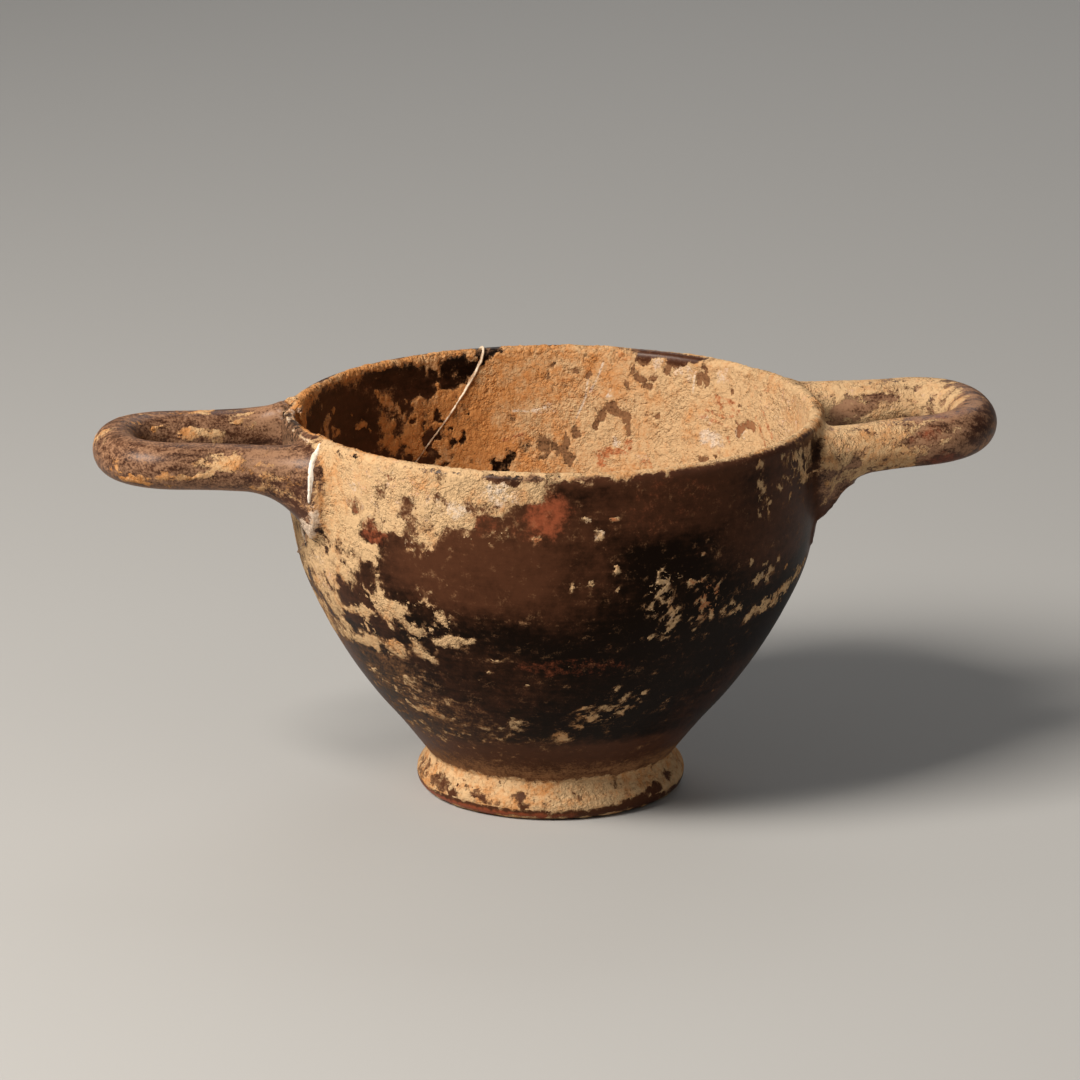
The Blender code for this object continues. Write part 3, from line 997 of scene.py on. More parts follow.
RIGHT_HANDLE_EARTH = bar_blots(
    (16, 36, 13, 7, 0.66), (20, -20, 10, 3.4, 0.52), (8, -10, 7, 4, 0.34), (24, 20, 9, 3, 0.5),
    (58, 150, 9, 5.5, 0.5), (49, 140, 4, 3, 0.6), (72, 120, 12, 5, 0.62), (90, 120, 12, 6, 0.68),
    (76, 180, 12, 4, 0.6), (15, -52, 2, 1.2, 0.9), (20, -60, 1.2, 0.9, 0.9), (23.4, -62, 1.6, 0.8, 0.9),
    (27.6, -54, 2, 1, 0.9), (32.6, 68, 0.5, 0.35), (29, 62, 0.5, 0.35), (38.2, 72, 0.6, 0.35),
    (40.2, 70, 0.5, 0.35), (42.4, 74, 0.4, 0.3), (46.6, 62, 0.5, 0.4), (52, 60, 0.7, 0.5),
    (47, 10, 0.8, 0.4, 0.9), (45, -14, 0.7, 0.6, 0.9), (43, -28, 1.4, 0.5, 0.9), (34, 10, 3, 0.5, 0.66),
    (36, 34, 4, 0.5, 0.6),
)
RIGHT_HANDLE_BARE = bar_blots(
    (30.6, 26, 4, 2.2, 0.6), (35, 78, 7, 1.2, 0.8), (42, 70, 6, 1, 0.8), (48, 0, 12, 8, 0.9),
    (35, -50, 6, 3, 0.9), (88, 176, 4, 2.2, 0.8), (81, 150, 3, 1, 0.5), (13, -16, 2, 1, 0.8),
)
# The pale smear of plaster at the left handle's root
LEFT_SMEAR = bar_blots(
    (108.2, -88, 2.2, 4.4, 1.3),
)
# The greyish hollow between the left handle's arms: dust, and a painted sheen in its grey
LEFT_SADDLE = bar_blots(
    (12, 130, 9, 5), (104, 150, 9, 5), (100, 40, 7, 4, 0.9),
)
RED_HANDLE = bar_blots(
    (30.6, 24, 4.4, 2.4, 0.75), (34, 76, 9, 2, 0.7), (33, -40, 5, 2.6, 0.7),
)

# Bare slip on the foot, whose top and side are else under earth
FOOT_BARE = blots(
    (183, 5.6, 4, 1.6, 0.45), (191, 5, 3.6, 1.5, 0.5), (200, 5, 2.4, 1.3, 0.5),
    (207, 4.9, 2.2, 1.3, 0.55), (214.6, 4.4, 1.4, 0.5, 0.9), (218, 4.9, 0.6, 0.7, 0.9),
    (230, 4.4, 3, 0.6, 0.6), (236, 4, 3, 0.6, 0.6), (247, 5, 1.6, 0.8, 0.6), (249.5, 4, 2, 0.6, 0.5),
    (302, 3, 4, 0.8, 0.8), (312, 4.2, 3, 0.9, 0.8), (326, 6, 2, 1, 0.45),
)

# The break inside, from the rim down, and the plaster beside the left handle: (azimuth, millimetres high)
BREAK_LINE = (
    (98.8, 87.6), (99.8, 84.8), (101, 82.4), (103.6, 78.6), (106.6, 74.6), (109.4, 71.1), (111.2, 69.2),
    (113.2, 67.3), (115.8, 64.8), (119, 61.8), (124, 57.6), (132, 54.2), (143, 52.4), (156, 52.2),
    (170, 53.6), (183, 57), (193, 62.4), (196.6, 68.4),
)
PLASTER_LINE = (
    (202.4, 86.8), (203.9, 84), (204.7, 81), (204.5, 77.6), (204, 74.4),
)
# The sherd's lip: bare slip inside it and a thin worn line along its edge
SHERD_LIP_BARE = blots(
    (181, 85.4, 9, 2.8), (175, 81, 4, 4, 0.8),
)
WORN_EDGE = ((169.1, 86.2), (180.5, 86.8), (186.1, 86.3), (193.2, 86.4), (199.4, 86.9))
# Threads inside: pale rootlets, and pink scratches in the earth of the right half
PALE_ROOTS = (
    ((74, 80.4), (74.5, 76), (75.4, 73.6), (76.6, 71)),
    ((70.4, 84.2), (71.8, 80.6), (73.4, 77.2)),
    ((46.8, 83.4), (47, 79.4)),
    ((84, 73.4), (88, 72.4), (92, 72.7)),
)
PINK_SCRATCHES = (
    ((43, 75.8), (38, 75), (33, 76.2)),
    ((41.6, 73.8), (36, 73)),
    ((24, 79), (19, 74)),
    ((26, 77), (21.6, 71.6)),
    ((40, 79.4), (34, 79)),
    ((94, 66), (89, 67.2)),
)


@dataclass
class Places:
    """Points on the cup's surface with all that patterns are placed by."""

    points: Array
    facing: Array
    azimuth: Array  # degrees
    height: Array  # millimetres
    radius: Array  # millimetres
    inner: Array  # 0 outside, 1 inside, changing over the top of the lip
    handle: Array  # 0 on the bowl, 1 on a handle
    along: Array  # millimetres along the handle's bar
    around: Array  # degrees round the bar

    @classmethod
    def read(cls, surface: CupSurface, points: Array) -> "Places":
        """Works out the places of points that lie on the surface.

        Args:
            surface: the cup's surface.
            points: places in metres, one a row.

        Returns:
            The places.
        """
        upright = surface.upright(points)
        along, around = surface.bar_places(points)
        return cls(
            points=points,
            facing=surface.facing(points),
            azimuth=surface.azimuth(points),
            height=points[:, 2] / MM,
            radius=np.hypot(upright[:, 0], upright[:, 1]) / MM,
            inner=surface.innerness(points),
            handle=surface.on_handle(points),
            along=along,
            around=around,
        )

    @property
    def left(self) -> Array:
        """True on the -X half."""
        return self.points[:, 0] < 0

    def from_line(self, line: Sequence[tuple[float, float]]) -> tuple[Array, Array]:
        """Millimetres from a line of (azimuth, height) places, and the share of the way along it.

        Args:
            line: the places where it bends.

        Returns:
            The two, one value a point.
        """
        nearest = np.full(len(self.points), np.inf)
        along_share = np.zeros(len(self.points))
        pieces = len(line) - 1
        for index, (start, end) in enumerate(zip(line[:-1], line[1:])):
            middle = (start[0] + end[0]) / 2
            around = (self.azimuth - middle + 180) % 360 - 180
            x = np.radians(around) * self.radius
            y = self.height
            start_x = np.radians(start[0] - middle) * self.radius
            end_x = np.radians(end[0] - middle) * self.radius
            dx, dy = end_x - start_x, end[1] - start[1]
            share = np.clip(((x - start_x) * dx + (y - start[1]) * dy) / (dx * dx + dy * dy), 0.0, 1.0)
            gap = np.hypot(x - start_x - share * dx, y - start[1] - share * dy)
            closer = gap < nearest
            nearest = np.where(closer, gap, nearest)
            along_share = np.where(closer, (index + share) / pieces, along_share)
        return nearest, along_share


class Weathering:
    """Where earth lies on the cup, and the tints of the earth and of the slip around it."""

    WARP = 1.25  # millimetres that the outlines wander
    RAGGED = 0.50
    GRITTY = 0.30
    CRUMBS = 0.05 * MM
    MARGIN = 0.55  # how far under 0 the cover still matters
    BAR_RADIUS = 5.4  # millimetres, for the length of a degree round a handle's bar
    BAR_WANDER_RADIUS = 5.5  # the same, where the outlines wander

    def __init__(self, places: Places) -> None:
        """Draws the noise and the wandering coordinates for those places.

        Args:
            places: the points to cover.
        """
        self.places = places
        points = places.points
        self.coarse = grain(points, 3.2 * MM, 3, 1.0)
        self.fine = grain(points, 1.15 * MM, 3, 8.0)
        self.finest = grain(points, 0.7 * MM, 2, 10.0)
        drift = grain(points, 3.0 * MM, 4, 2.0)
        lift = grain(points, 3.0 * MM, 4, 3.0)
        self.slow = grain(points, 15 * MM, 3, 4.0)
        self.azimuth = places.azimuth + np.degrees(drift * self.WARP / np.maximum(places.radius, 8.0))
        self.height = places.height + lift * self.WARP
        self.along = places.along + 1.2 * drift
        self.around = places.around + np.degrees(lift * self.WARP / self.BAR_WANDER_RADIUS)
        self.ridge = 1 - np.clip(np.abs(grain(points, 1.9 * MM, 3, 9.0)) * 3.2, 0, 1)
        streaks = grain(points, 2.0 * MM, 4, 6.0, (4.5, 1.1, 1.1))
        self.streaks = np.where(places.handle > 0, streaks, 0.0)
        self.on_bowl = 1 - places.handle
        self.foot_band = smooth(9, 6, places.height) * (1 - places.inner)
        # the wall between the left handle's arms, greyed by dust and by a painted sheen
        between = smooth(167, 171, places.azimuth) * smooth(201, 196, places.azimuth)
        self.hollow = (1 - places.inner) * between * smooth(68, 76, places.height)

    def field(self, patches: Iterable[Patch]) -> Array:
        """The patches' cover with wandering outlines."""
        return strongest(patches, self.azimuth, self.height, self.places.radius)

    def bar_field(self, patches: Iterable[BarPatch]) -> Array:
        """The same for patches on a handle.

        Args:
            patches: what may cover the bar.

        Returns:
            One value a place.
        """
        total = np.zeros(len(self.along))
        for patch in patches:
            total = np.maximum(total, patch.cover(self.along, self.around, self.BAR_RADIUS))
        return total

    def inside(self) -> Array:
        """Cover of earth on the inner face: over 0 is earth, under 0 is bare.

        Returns:
            One value a place.
        """
        azimuth = self.places.azimuth
        thin = smooth(96, 104, azimuth) * (1 - smooth(128, 136, azimuth))
        unseen = smooth(168, 176, azimuth) * (1 - smooth(344, 352, azimuth))
        low = 1 - smooth(50, 58, self.places.height)
        hidden = np.maximum(unseen, low)
        base = 0.95 - 0.36 * thin - hidden * (0.45 - 0.9 * self.slow)
        bare = self.field(INSIDE_BARE) * (1 - low) * (1 - unseen)
        kept = self.field(INSIDE_EARTH) * (1 - unseen)
        bare = np.maximum(bare, self.field(SHERD_LIP_BARE))
        cover = base - 2.3 * bare
        cover = np.maximum(cover, 1.5 * kept - 0.9)
        rim = smooth(83, 86, self.places.height) * unseen
        ragged = self.RAGGED * self.coarse * (0.9 + 0.6 * thin) + self.GRITTY * self.fine
        return cover + ragged + 0.3 * rim

    def outside(self) -> Array:
        """Cover of earth on the outer face of the bowl.

        Returns:
            One value a place.
        """
        azimuth, height = self.places.azimuth, self.places.height
        seen = smooth(166, 172, azimuth) * (1 - smooth(346, 354, azimuth))
        base = -0.85 + (1 - seen) * (0.42 + 1.1 * self.slow + 0.5 * smooth(76, 88, height))
        base += 1.25 * smooth(86.9, 87.6, height) * smooth(198, 204, azimuth) * smooth(352, 342, azimuth)
        earth = self.field(OUTSIDE_EARTH)
        lace = self.field(OUTSIDE_LACE) * smooth(0.45, 0.9, self.ridge)
        bare = self.field(OUTSIDE_BARE)
        ragged = self.RAGGED * self.coarse + self.GRITTY * self.fine
        return base + 1.8 * np.maximum(earth, lace) - 1.5 * bare + ragged

    def foot(self) -> Array:
        """Cover of earth on the foot.

        Returns:
            One value a place.
        """
        height = self.places.height
        down_facing = smooth(-0.4, -0.9, self.places.facing[:, 2])
        base = 0.52 - 1.3 * smooth(3.1, 2.0, height) + 0.9 * down_facing
        bare = self.field(FOOT_BARE)
        return base - 1.6 * bare + 0.5 * self.coarse * (1 + down_facing) + self.GRITTY * self.fine

    def handles(self) -> Array:
        """Cover of earth on the handles.

        Returns:
            One value a place.
        """
        noisy = 0.75 * self.streaks + 0.35 * self.coarse + self.GRITTY * self.fine
        left = -0.62 + 1.9 * self.bar_field(LEFT_HANDLE_EARTH) - 1.0 * self.bar_field(LEFT_HANDLE_BARE)
        right = -0.45 + 1.6 * self.bar_field(RIGHT_HANDLE_EARTH) - 1.6 * self.bar_field(RIGHT_HANDLE_BARE)
        return np.where(self.places.left, left, right) + noisy - 0.95 * self.underside()

    def underside(self) -> Array:
        """1 on the underside of a handle's bar, 0 on its sides and top."""
        return smooth(50, 15, np.abs(self.places.around + 90))

    def cover(self) -> Array:
        """Cover of earth everywhere.

        Returns:
            Over 0 is earth, under 0 is bare slip.
        """
        places = self.places
        on_foot = smooth(10.5, 8.0, places.height)
        outer = lerp(self.outside(), self.foot(), on_foot)
        bowl = lerp(outer, self.inside(), places.inner)
        worn, _ = places.from_line(WORN_EDGE)
        bowl = np.maximum(bowl, -1 + 1.4 * smooth(0.42, 0.08, worn))
        return lerp(bowl, self.handles(), places.handle)

    def thickness(self) -> Array:
        """How thick the full crust is, in metres.

        Returns:
            One value a place.
        """
        places = self.places
        back = (places.azimuth < 172) | (places.azimuth > 345)
        rim = smooth(84, 87, places.height) * back
        inside = 0.20 + 0.10 * rim + 0.5 * smooth(30, 10, places.height)
        outside = 0.08 + 0.14 * rim
        bowl = lerp(outside, inside, places.inner)
        return lerp(bowl, 0.07, places.handle) * MM

    def raised(self, cover: Array) -> Array:
        """How high the skin stands over the slip; where it is bare the coat dips under the fired surface.

        Args:
            cover: the cover of earth at each point.

        Returns:
            Metres above the fired surface.
        """
        thickness = self.thickness()
        over = thickness * (1 - np.exp(-2.4 * np.clip(cover, 0, None)))
        under = -SUNK * (1 - np.exp(6.0 * np.clip(cover, None, 0)))
        full = smooth(0.0, 0.6, cover)
        rim = smooth(85, 87, self.places.height) * self.places.inner
        lumps = 0.35 * self.coarse + 0.14 * self.fine + (0.28 + 0.6 * rim) * self.finest
        return np.where(cover > 0, over, under) + full * (thickness + self.CRUMBS) * lumps

    def warmth(self) -> Array:
        """How orange the earth is.

        Returns:
            0 for tan to 1 for orange.
        """
        places = self.places
        azimuth, height = places.azimuth, places.height
        inner_warm = 0.10 + 0.80 * smooth(52, 104, azimuth) * (1 - smooth(200, 260, azimuth))
        lip = smooth(85.6, 86.8, height) * smooth(250, 280, azimuth)
        outer_warm = 0.06 + 0.25 * smooth(40, 10, height) + 0.5 * lip
        warm = lerp(outer_warm, inner_warm, places.inner) * self.on_bowl
        return warm + np.where(places.left, 0.5, 0.16) * places.handle + 0.35 * self.slow

    def paleness(self) -> Array:
        """Whitish earth: in its patches, along the sherd's edge, on the handles and in rootlets.

        Returns:
            0 to 1, or a little more in the middle of a smear.
        """
        places = self.places
        pale = lerp(self.field(PALE_OUTSIDE), self.field(PALE_INSIDE), places.inner) * self.on_bowl
        worn, _ = places.from_line(WORN_EDGE)
        pale = np.maximum(pale, 0.7 * smooth(0.9, 0.4, worn))
        smear = np.where(places.left, self.bar_field(LEFT_SMEAR), 0.24)
        pale = np.maximum(pale, places.handle * smear)
        for root in PALE_ROOTS:
            gap, _ = places.from_line(root)
            pale = np.maximum(pale, places.inner * smooth(0.55, 0.1, gap))
        return pale

    def brickness(self) -> Array:
        """Reddish earth: in its patches and in the scratches inside.

        Returns:
            0 to 1.
        """
        places = self.places
        brick = lerp(self.field(RED_OUTSIDE), self.field(RED_INSIDE), places.inner) * self.on_bowl
        for scratch in PINK_SCRATCHES:
            gap, _ = places.from_line(scratch)
            brick = np.maximum(brick, 0.75 * places.inner * smooth(0.9, 0.2, gap))
        return brick

    def redness(self) -> Array:
        """Slip that fired or wore red: in its patches and in a band low on the foot.

        Returns:
            0 to 1, or a little more in the band.
        """
        places = self.places
        red = np.maximum(self.field(REDDISH_SLIP) * self.on_bowl, 0)
        red = np.maximum(red, places.handle * ~places.left * self.bar_field(RED_HANDLE))
        low = smooth(2.6, 1.7, places.height) * smooth(290, 250, places.azimuth)
        return np.maximum(red, 1.3 * self.foot_band * low)

    def dust_and_painted_light(self, cover: Array) -> Array:
        """Dust in the slip's pores: round the earth, on the sunlit wall, over the foot and on the handles; on
        the sunlit wall it is painted light, between the left handle's arms partly a painted sheen.

        Args:
            cover: the cover of earth at each point.

        Returns:
            0 to 1, or a little more where the handles are greyest.
        """
        places = self.places
        azimuth, height = places.azimuth, places.height
        veil = smooth(-1.0, 0.1, cover) * lerp(0.80, 0.72, places.inner)
        # painted light: the veil is kept off the inner wall from about 84 to 186 degrees, which lies in
        # shade, so that wall is painted darker than the lit far wall
        sunlit = places.inner * (1 - smooth(84, 100, azimuth) * (1 - smooth(176, 186, azimuth)))
        veil = np.maximum(veil, sunlit * smooth(86.2, 84.6, height) * 0.84)
        # painted sheen: a grey veil on the wall between the left handle's arms, over its dust
        veil = np.maximum(veil, self.hollow * 0.66)
        neck = smooth(17, 10.5, height) * (1 - places.inner) * (1 - self.foot_band)
        veil = np.maximum(veil, neck * (0.75 + 0.2 * self.slow))
        veil = veil * (1 - self.foot_band * smooth(2.9, 2.2, height))
        veil = np.maximum(veil, self.field(THIN_DUST) * (1 - places.inner) * self.on_bowl)
        # the left handle's saddle: dust, and a painted sheen in its grey
        saddle = places.left * self.bar_field(LEFT_SADDLE)
        bend = ~places.left * smooth(38, 44, places.along) * smooth(64, 58, places.along)
        on_bar = np.where(places.left, 0.44, 0.84) + 0.55 * saddle + 0.10 * bend + 0.36 * self.streaks
        on_bar = on_bar - 0.65 * self.underside()
        return np.maximum(veil, places.handle * on_bar * smooth(-2.6, -1.0, cover))

    def painted(self, cover: Array) -> dict[Painted, Array]:
        """The values that the finish reads.

        Args:
            cover: the cover of earth at each point.

        Returns:
            One value a point for each layer.
        """
        places = self.places
        film = lerp(self.field(BROWN_FILM), 0.75, places.handle)
        film = np.maximum(film, smooth(22, 10, places.height) * (1 - places.inner))
        # the lip and the hollow between the left handle's arms get the handles' shine and grey; in the hollow
        # that grey is partly a painted sheen
        sheen_places = np.maximum(self.hollow, 0.7 * smooth(85.0, 86.6, places.height))
        return {
            Painted.COVER: cover,
            Painted.WARM: self.warmth(),
            Painted.PALE: self.paleness(),
            Painted.BRICK: self.brickness(),
            Painted.FILM: film,
            Painted.RED: self.redness(),
            Painted.VEIL: self.dust_and_painted_light(cover),
            Painted.HANDLE: np.maximum(places.handle, sheen_places),
        }


class Signal:
    """A value or colour on its way through a material's nodes."""

    def __init__(self, workshop: "Workshop", socket: Any) -> None:
        """Wraps an output socket."""
        self.workshop = workshop
        self.socket = socket

    def _math(self, operation: str, *values: Any) -> "Signal":
        """One Math node."""
        return self.workshop.node("ShaderNodeMath", {"operation": operation}, dict(enumerate(values)))

    def __add__(self, other: Any) -> "Signal":
        """Sum."""
        return self._math("ADD", self, other)

    def __radd__(self, other: Any) -> "Signal":
        """Sum."""
        return self._math("ADD", other, self)

    def __sub__(self, other: Any) -> "Signal":
        """Difference."""
        return self._math("SUBTRACT", self, other)

    def __rsub__(self, other: Any) -> "Signal":
        """Difference."""
        return self._math("SUBTRACT", other, self)

    def __mul__(self, other: Any) -> "Signal":
        """Product."""
        return self._math("MULTIPLY", self, other)

    def __rmul__(self, other: Any) -> "Signal":
        """Product."""
        return self._math("MULTIPLY", other, self)

    def __truediv__(self, other: Any) -> "Signal":
        """Quotient."""
        return self._math("DIVIDE", self, other)

    def __rtruediv__(self, other: Any) -> "Signal":
        """Quotient."""
        return self._math("DIVIDE", other, self)

    def larger(self, other: Any) -> "Signal":
        """The larger of two."""
        return self._math("MAXIMUM", self, other)

    def ramp(self, low: float, high: float) -> "Signal":
        """Rises smoothly from 0 at low to 1 at high."""
        inputs = {"Value": self, "From Min": low, "From Max": high}
        return self.workshop.node("ShaderNodeMapRange", {"interpolation_type": "SMOOTHSTEP"}, inputs)


class Workshop:
    """One material's nodes."""

    def __init__(self, name: str) -> None:
        """An empty Principled material of that name.

        Args:
            name: the material's name.
        """
        self.material = bpy.data.materials.new(name)
        self.material.use_nodes = True
        self.tree = self.material.node_tree
        self.shader = self.tree.nodes["Principled BSDF"]
        self.place = self.node("ShaderNodeTexCoord", {}, {}, "Object")

    def feed(self, socket: Any, value: Any) -> None:
        """Links a signal to a socket, or sets the socket's own value.

        Args:
            socket: the input.
            value: a signal, a number, a vector or a colour.
        """
        if isinstance(value, Signal):
            self.tree.links.new(value.socket, socket)
        elif isinstance(value, tuple) and socket.type == "RGBA":
            socket.default_value = (*value, 1.0)
        else:
            socket.default_value = value

    def node(self, kind: str, settings: dict[str, Any], inputs: dict[Any, Any], output: Any = 0) -> Signal:
        """Adds a node.

        Args:
            kind: the node's type.
            settings: its properties, set first.
            inputs: values or signals for its sockets, by name or number.
            output: the socket to pass on, by name or number.

        Returns:
            The chosen output.
        """
        made = self.tree.nodes.new(kind)
        for key, value in settings.items():
            setattr(made, key, value)
        for key, value in inputs.items():
            self.feed(made.inputs[key], value)
        return Signal(self, made.outputs[output])

    def attribute(self, painted: Painted) -> Signal:
        """A value painted on the mesh's points."""
        return self.node("ShaderNodeAttribute", {"attribute_name": painted.value}, {}, "Fac")

    def stretched(self, stretch: Sequence[float]) -> Signal:
        """The object's coordinates with patterns drawn out along each axis by that much."""
        scale = tuple(1 / part for part in stretch)
        return self.node("ShaderNodeMapping", {}, {"Vector": self.place, "Scale": scale})

    def noise(
        self, size: float, detail: float = 3.0, rough: float = 0.6, place: Signal | None = None
    ) -> Signal:
        """Cloudy noise around 0.5 with waves of that size in metres."""
        inputs = {"Vector": place or self.place, "Scale": 1 / size, "Detail": detail, "Roughness": rough}
        return self.node("ShaderNodeTexNoise", {}, inputs, "Fac")

    def cells(self, size: float) -> Signal:
        """Distance from scattered points, for grit and pits."""
        inputs = {"Vector": self.place, "Scale": 1 / size}
        return self.node("ShaderNodeTexVoronoi", {"feature": "F1"}, inputs, "Distance")

    def mix(self, share: Any, first: Any, second: Any) -> Signal:
        """A colour between two.

        Args:
            share: 0 for the first, 1 for the second.
            first: a colour or signal.
            second: another.

        Returns:
            The mixed colour.
        """
        made = self.tree.nodes.new("ShaderNodeMix")
        made.data_type = "RGBA"
        self.feed(made.inputs[0], share)
        self.feed(made.inputs[6], first)
        self.feed(made.inputs[7], second)
        return Signal(self, made.outputs[2])

    def relief(self, height: Signal, depth: float) -> None:
        """Bumps the surface by a pattern that is that deep in metres.

        Args:
            height: the pattern, about 0 to 1.
            depth: metres.
        """
        inputs = {"Height": height, "Distance": depth, "Strength": 1.0}
        bump = self.node("ShaderNodeBump", {}, inputs, "Normal")
        self.feed(self.shader.inputs["Normal"], bump)

    def finish(self, **values: Any) -> bpy.types.Material:
        """Sets the shader's sockets, underscores standing for spaces, and gives the material.

        Args:
            values: a value or signal for each socket.

        Returns:
            The finished material.
        """
        for name, value in values.items():
            self.feed(self.shader.inputs[name.replace("_", " ").title().replace("Ior", "IOR")], value)
        return self.material


@dataclass(frozen=True)
class SkinFinish:
    """Dark gloss slip, worn and filmed over, with dry clayey earth on it where the cover is over 0."""

    black: Colour = (0.0050, 0.0019, 0.0009)
    brown: Colour = (0.074, 0.0265, 0.0125)
    rust: Colour = (0.30, 0.075, 0.032)
    # dust; laid on the sunlit inner wall it is also painted light
    dust_and_light: Colour = (0.30, 0.150, 0.070)
    # grey dust on the handles; between the left handle's arms it is partly a painted sheen
    ash_and_sheen: Colour = (0.38, 0.235, 0.150)
    tan: Colour = (0.62, 0.405, 0.215)
    orange: Colour = (0.56, 0.235, 0.074)
    pale: Colour = (0.74, 0.60, 0.47)
    brick: Colour = (0.42, 0.125, 0.045)
    # greyish-brown stains in the earth, and painted shade in its pits and hollows
    stain_and_shade: Colour = (0.22, 0.115, 0.058)
    sheen: Colour = (1.0, 0.76, 0.58)

    def slip(self, shop: Workshop, fine: Signal, mottle: Signal) -> tuple[Signal, Signal, Signal]:
        """Colour, dust veil and relief of the slip; the veil also paints light on the sunlit inner wall and a
        sheen between the left handle's arms.

        Args:
            shop: the material's workshop.
            fine: fine noise.
            mottle: coarser noise.

        Returns:
            The three signals.
        """
        cloud = shop.noise(0.011, 5.0, 0.62)
        turned = shop.noise(0.0010, 3.0, 0.6, shop.stretched((9.0, 9.0, 1.0)))
        along_bar = shop.noise(0.0013, 5.0, 0.70, shop.stretched((3.2, 1.0, 1.0)))
        handle = shop.attribute(Painted.HANDLE)
        film = shop.attribute(Painted.FILM)
        red = shop.attribute(Painted.RED)
        veil = shop.attribute(Painted.VEIL)
        grit = (1 - handle) * (mottle * 0.7 + turned * 0.3) + handle * along_bar
        filmed = (film * 0.95 + (cloud - 0.5) * 0.8 + (grit - 0.5) * 1.4).ramp(0.0, 1.0)
        colour = shop.mix(filmed, self.black, self.brown)
        rusty = (red + (mottle - 0.5) * 2.0 + (fine - 0.5) * 0.9 + (cloud - 0.5) * 0.8).ramp(0.3, 1.3)
        colour = shop.mix(rusty * 0.95, colour, self.rust)
        # the dust veil, which is also painted light on the sunlit inner wall and a painted sheen between the
        # left handle's arms
        dusted_and_lit = (veil + (grit - 0.5) * 2.2 + (fine - 0.5) * (handle * 0.8 + 1.8)).ramp(0.25, 1.15)
        greyed = shop.mix(handle * 0.62, self.dust_and_light, self.ash_and_sheen)
        colour = shop.mix(dusted_and_lit * 0.9, colour, greyed)
        height = grit * 0.30 + fine * 0.16 + dusted_and_lit * 0.25
        return colour, dusted_and_lit, height

    def earth(self, shop: Workshop, fine: Signal, cover: Signal) -> tuple[Signal, Signal]:
        """Colour and relief of the earth; its colour is darkened in pits and hollows as painted shade.

        Args:
            shop: the material's workshop.
            fine: fine noise.
            cover: the cover of earth.

        Returns:
            The two signals.
        """
        cloud = shop.noise(0.0065, 4.0, 0.6)
        lumps = shop.noise(0.0016, 6.0, 0.72)
        pores = shop.cells(0.0011)
        crumbs = shop.cells(0.00085)
        grit = shop.cells(0.00042)
        clods = 1 - shop.cells(0.0024).ramp(0.10, 0.42)
        flakes = shop.noise(0.0036, 6.0, 0.62).ramp(0.485, 0.530)
        rough = shop.noise(0.0085, 3.0, 0.55).ramp(0.42, 0.60)
        tinted = (shop.attribute(Painted.WARM) + (cloud - 0.5) * 1.7 + (lumps - 0.5) * 2.2).ramp(-0.05, 1.05)
        colour = shop.mix(tinted, self.tan, self.orange)
        paled = (shop.attribute(Painted.PALE) + (lumps - 0.5) * 3.0 + (fine - 0.5) * 1.4).ramp(0.4, 1.2)
        colour = shop.mix(paled * 0.85, colour, self.pale)
        reddened = (shop.attribute(Painted.BRICK) + (lumps - 0.5) * 2.6 + (fine - 0.5) * 1.6).ramp(0.4, 1.1)
        colour = shop.mix(reddened * 0.85, colour, self.brick)
        thin = 1 - cover.ramp(0.0, 0.6)
        stain = (thin * 0.55 + (lumps - 0.5) * 2.2 + (fine - 0.5) * 2.0 + (cloud - 0.5) * 0.8).ramp(0.15, 1.1)
        # painted shade: the earth is darkened in its pits and in the hollows between crumbs and flakes
        pits = (1 - pores.ramp(0.06, 0.34)) * lumps.ramp(0.46, 0.60)
        hollow_shade = (crumbs * 0.9 + (0.5 - fine) * 1.6 - flakes * 0.25).ramp(0.42, 0.86) * (rough * 0.7 + 0.3)
        colour = shop.mix((stain * 0.50).larger(pits * 0.45).larger(hollow_shade * 0.30), colour, self.stain_and_shade)
        grains = (crumbs * 0.55 + grit * 0.42) * (rough * 0.65 + 0.35)
        height = lumps * 0.28 + fine * 0.32 + flakes * 0.30 + clods * rough * 0.45 - grains - pits * 0.25
        return colour, height

    def make(self) -> bpy.types.Material:
        """Builds the material.

        Returns:
            The finished material.
        """
        shop = Workshop("weathered_skin")
        fine = shop.noise(0.00050, 4.0, 0.75)
        cover = shop.attribute(Painted.COVER)
        handle = shop.attribute(Painted.HANDLE)
        mottle = shop.noise(0.0019, 6.0, 0.72)
        slip_colour, dusted_and_lit, slip_height = self.slip(shop, fine, mottle)
        earth_colour, earth_height = self.earth(shop, fine, cover)
        frayed = (mottle - 0.5) * (handle * 1.3 + 1.5) + (fine - 0.5) * 2.3
        earthy = (cover + frayed).ramp(-0.20, 0.24)
        colour = shop.mix(earthy, slip_colour, earth_colour)
        bare = (1 - earthy) * (1 - dusted_and_lit * 0.9)
        roughness = 0.95 - bare * (0.56 + handle * 0.06)
        height = slip_height * 0.25 * (1 - earthy) + earth_height * earthy
        shop.relief(height, 0.00050)
        return shop.finish(
            base_color=colour,
            roughness=roughness,
            metallic=0.0,
            specular_ior_level=0.07,
            specular_tint=self.sheen,
            coat_weight=(1 - earthy) * handle * 0.22 + bare * handle * 0.20,
            coat_roughness=0.38,
            coat_tint=self.sheen,
        )


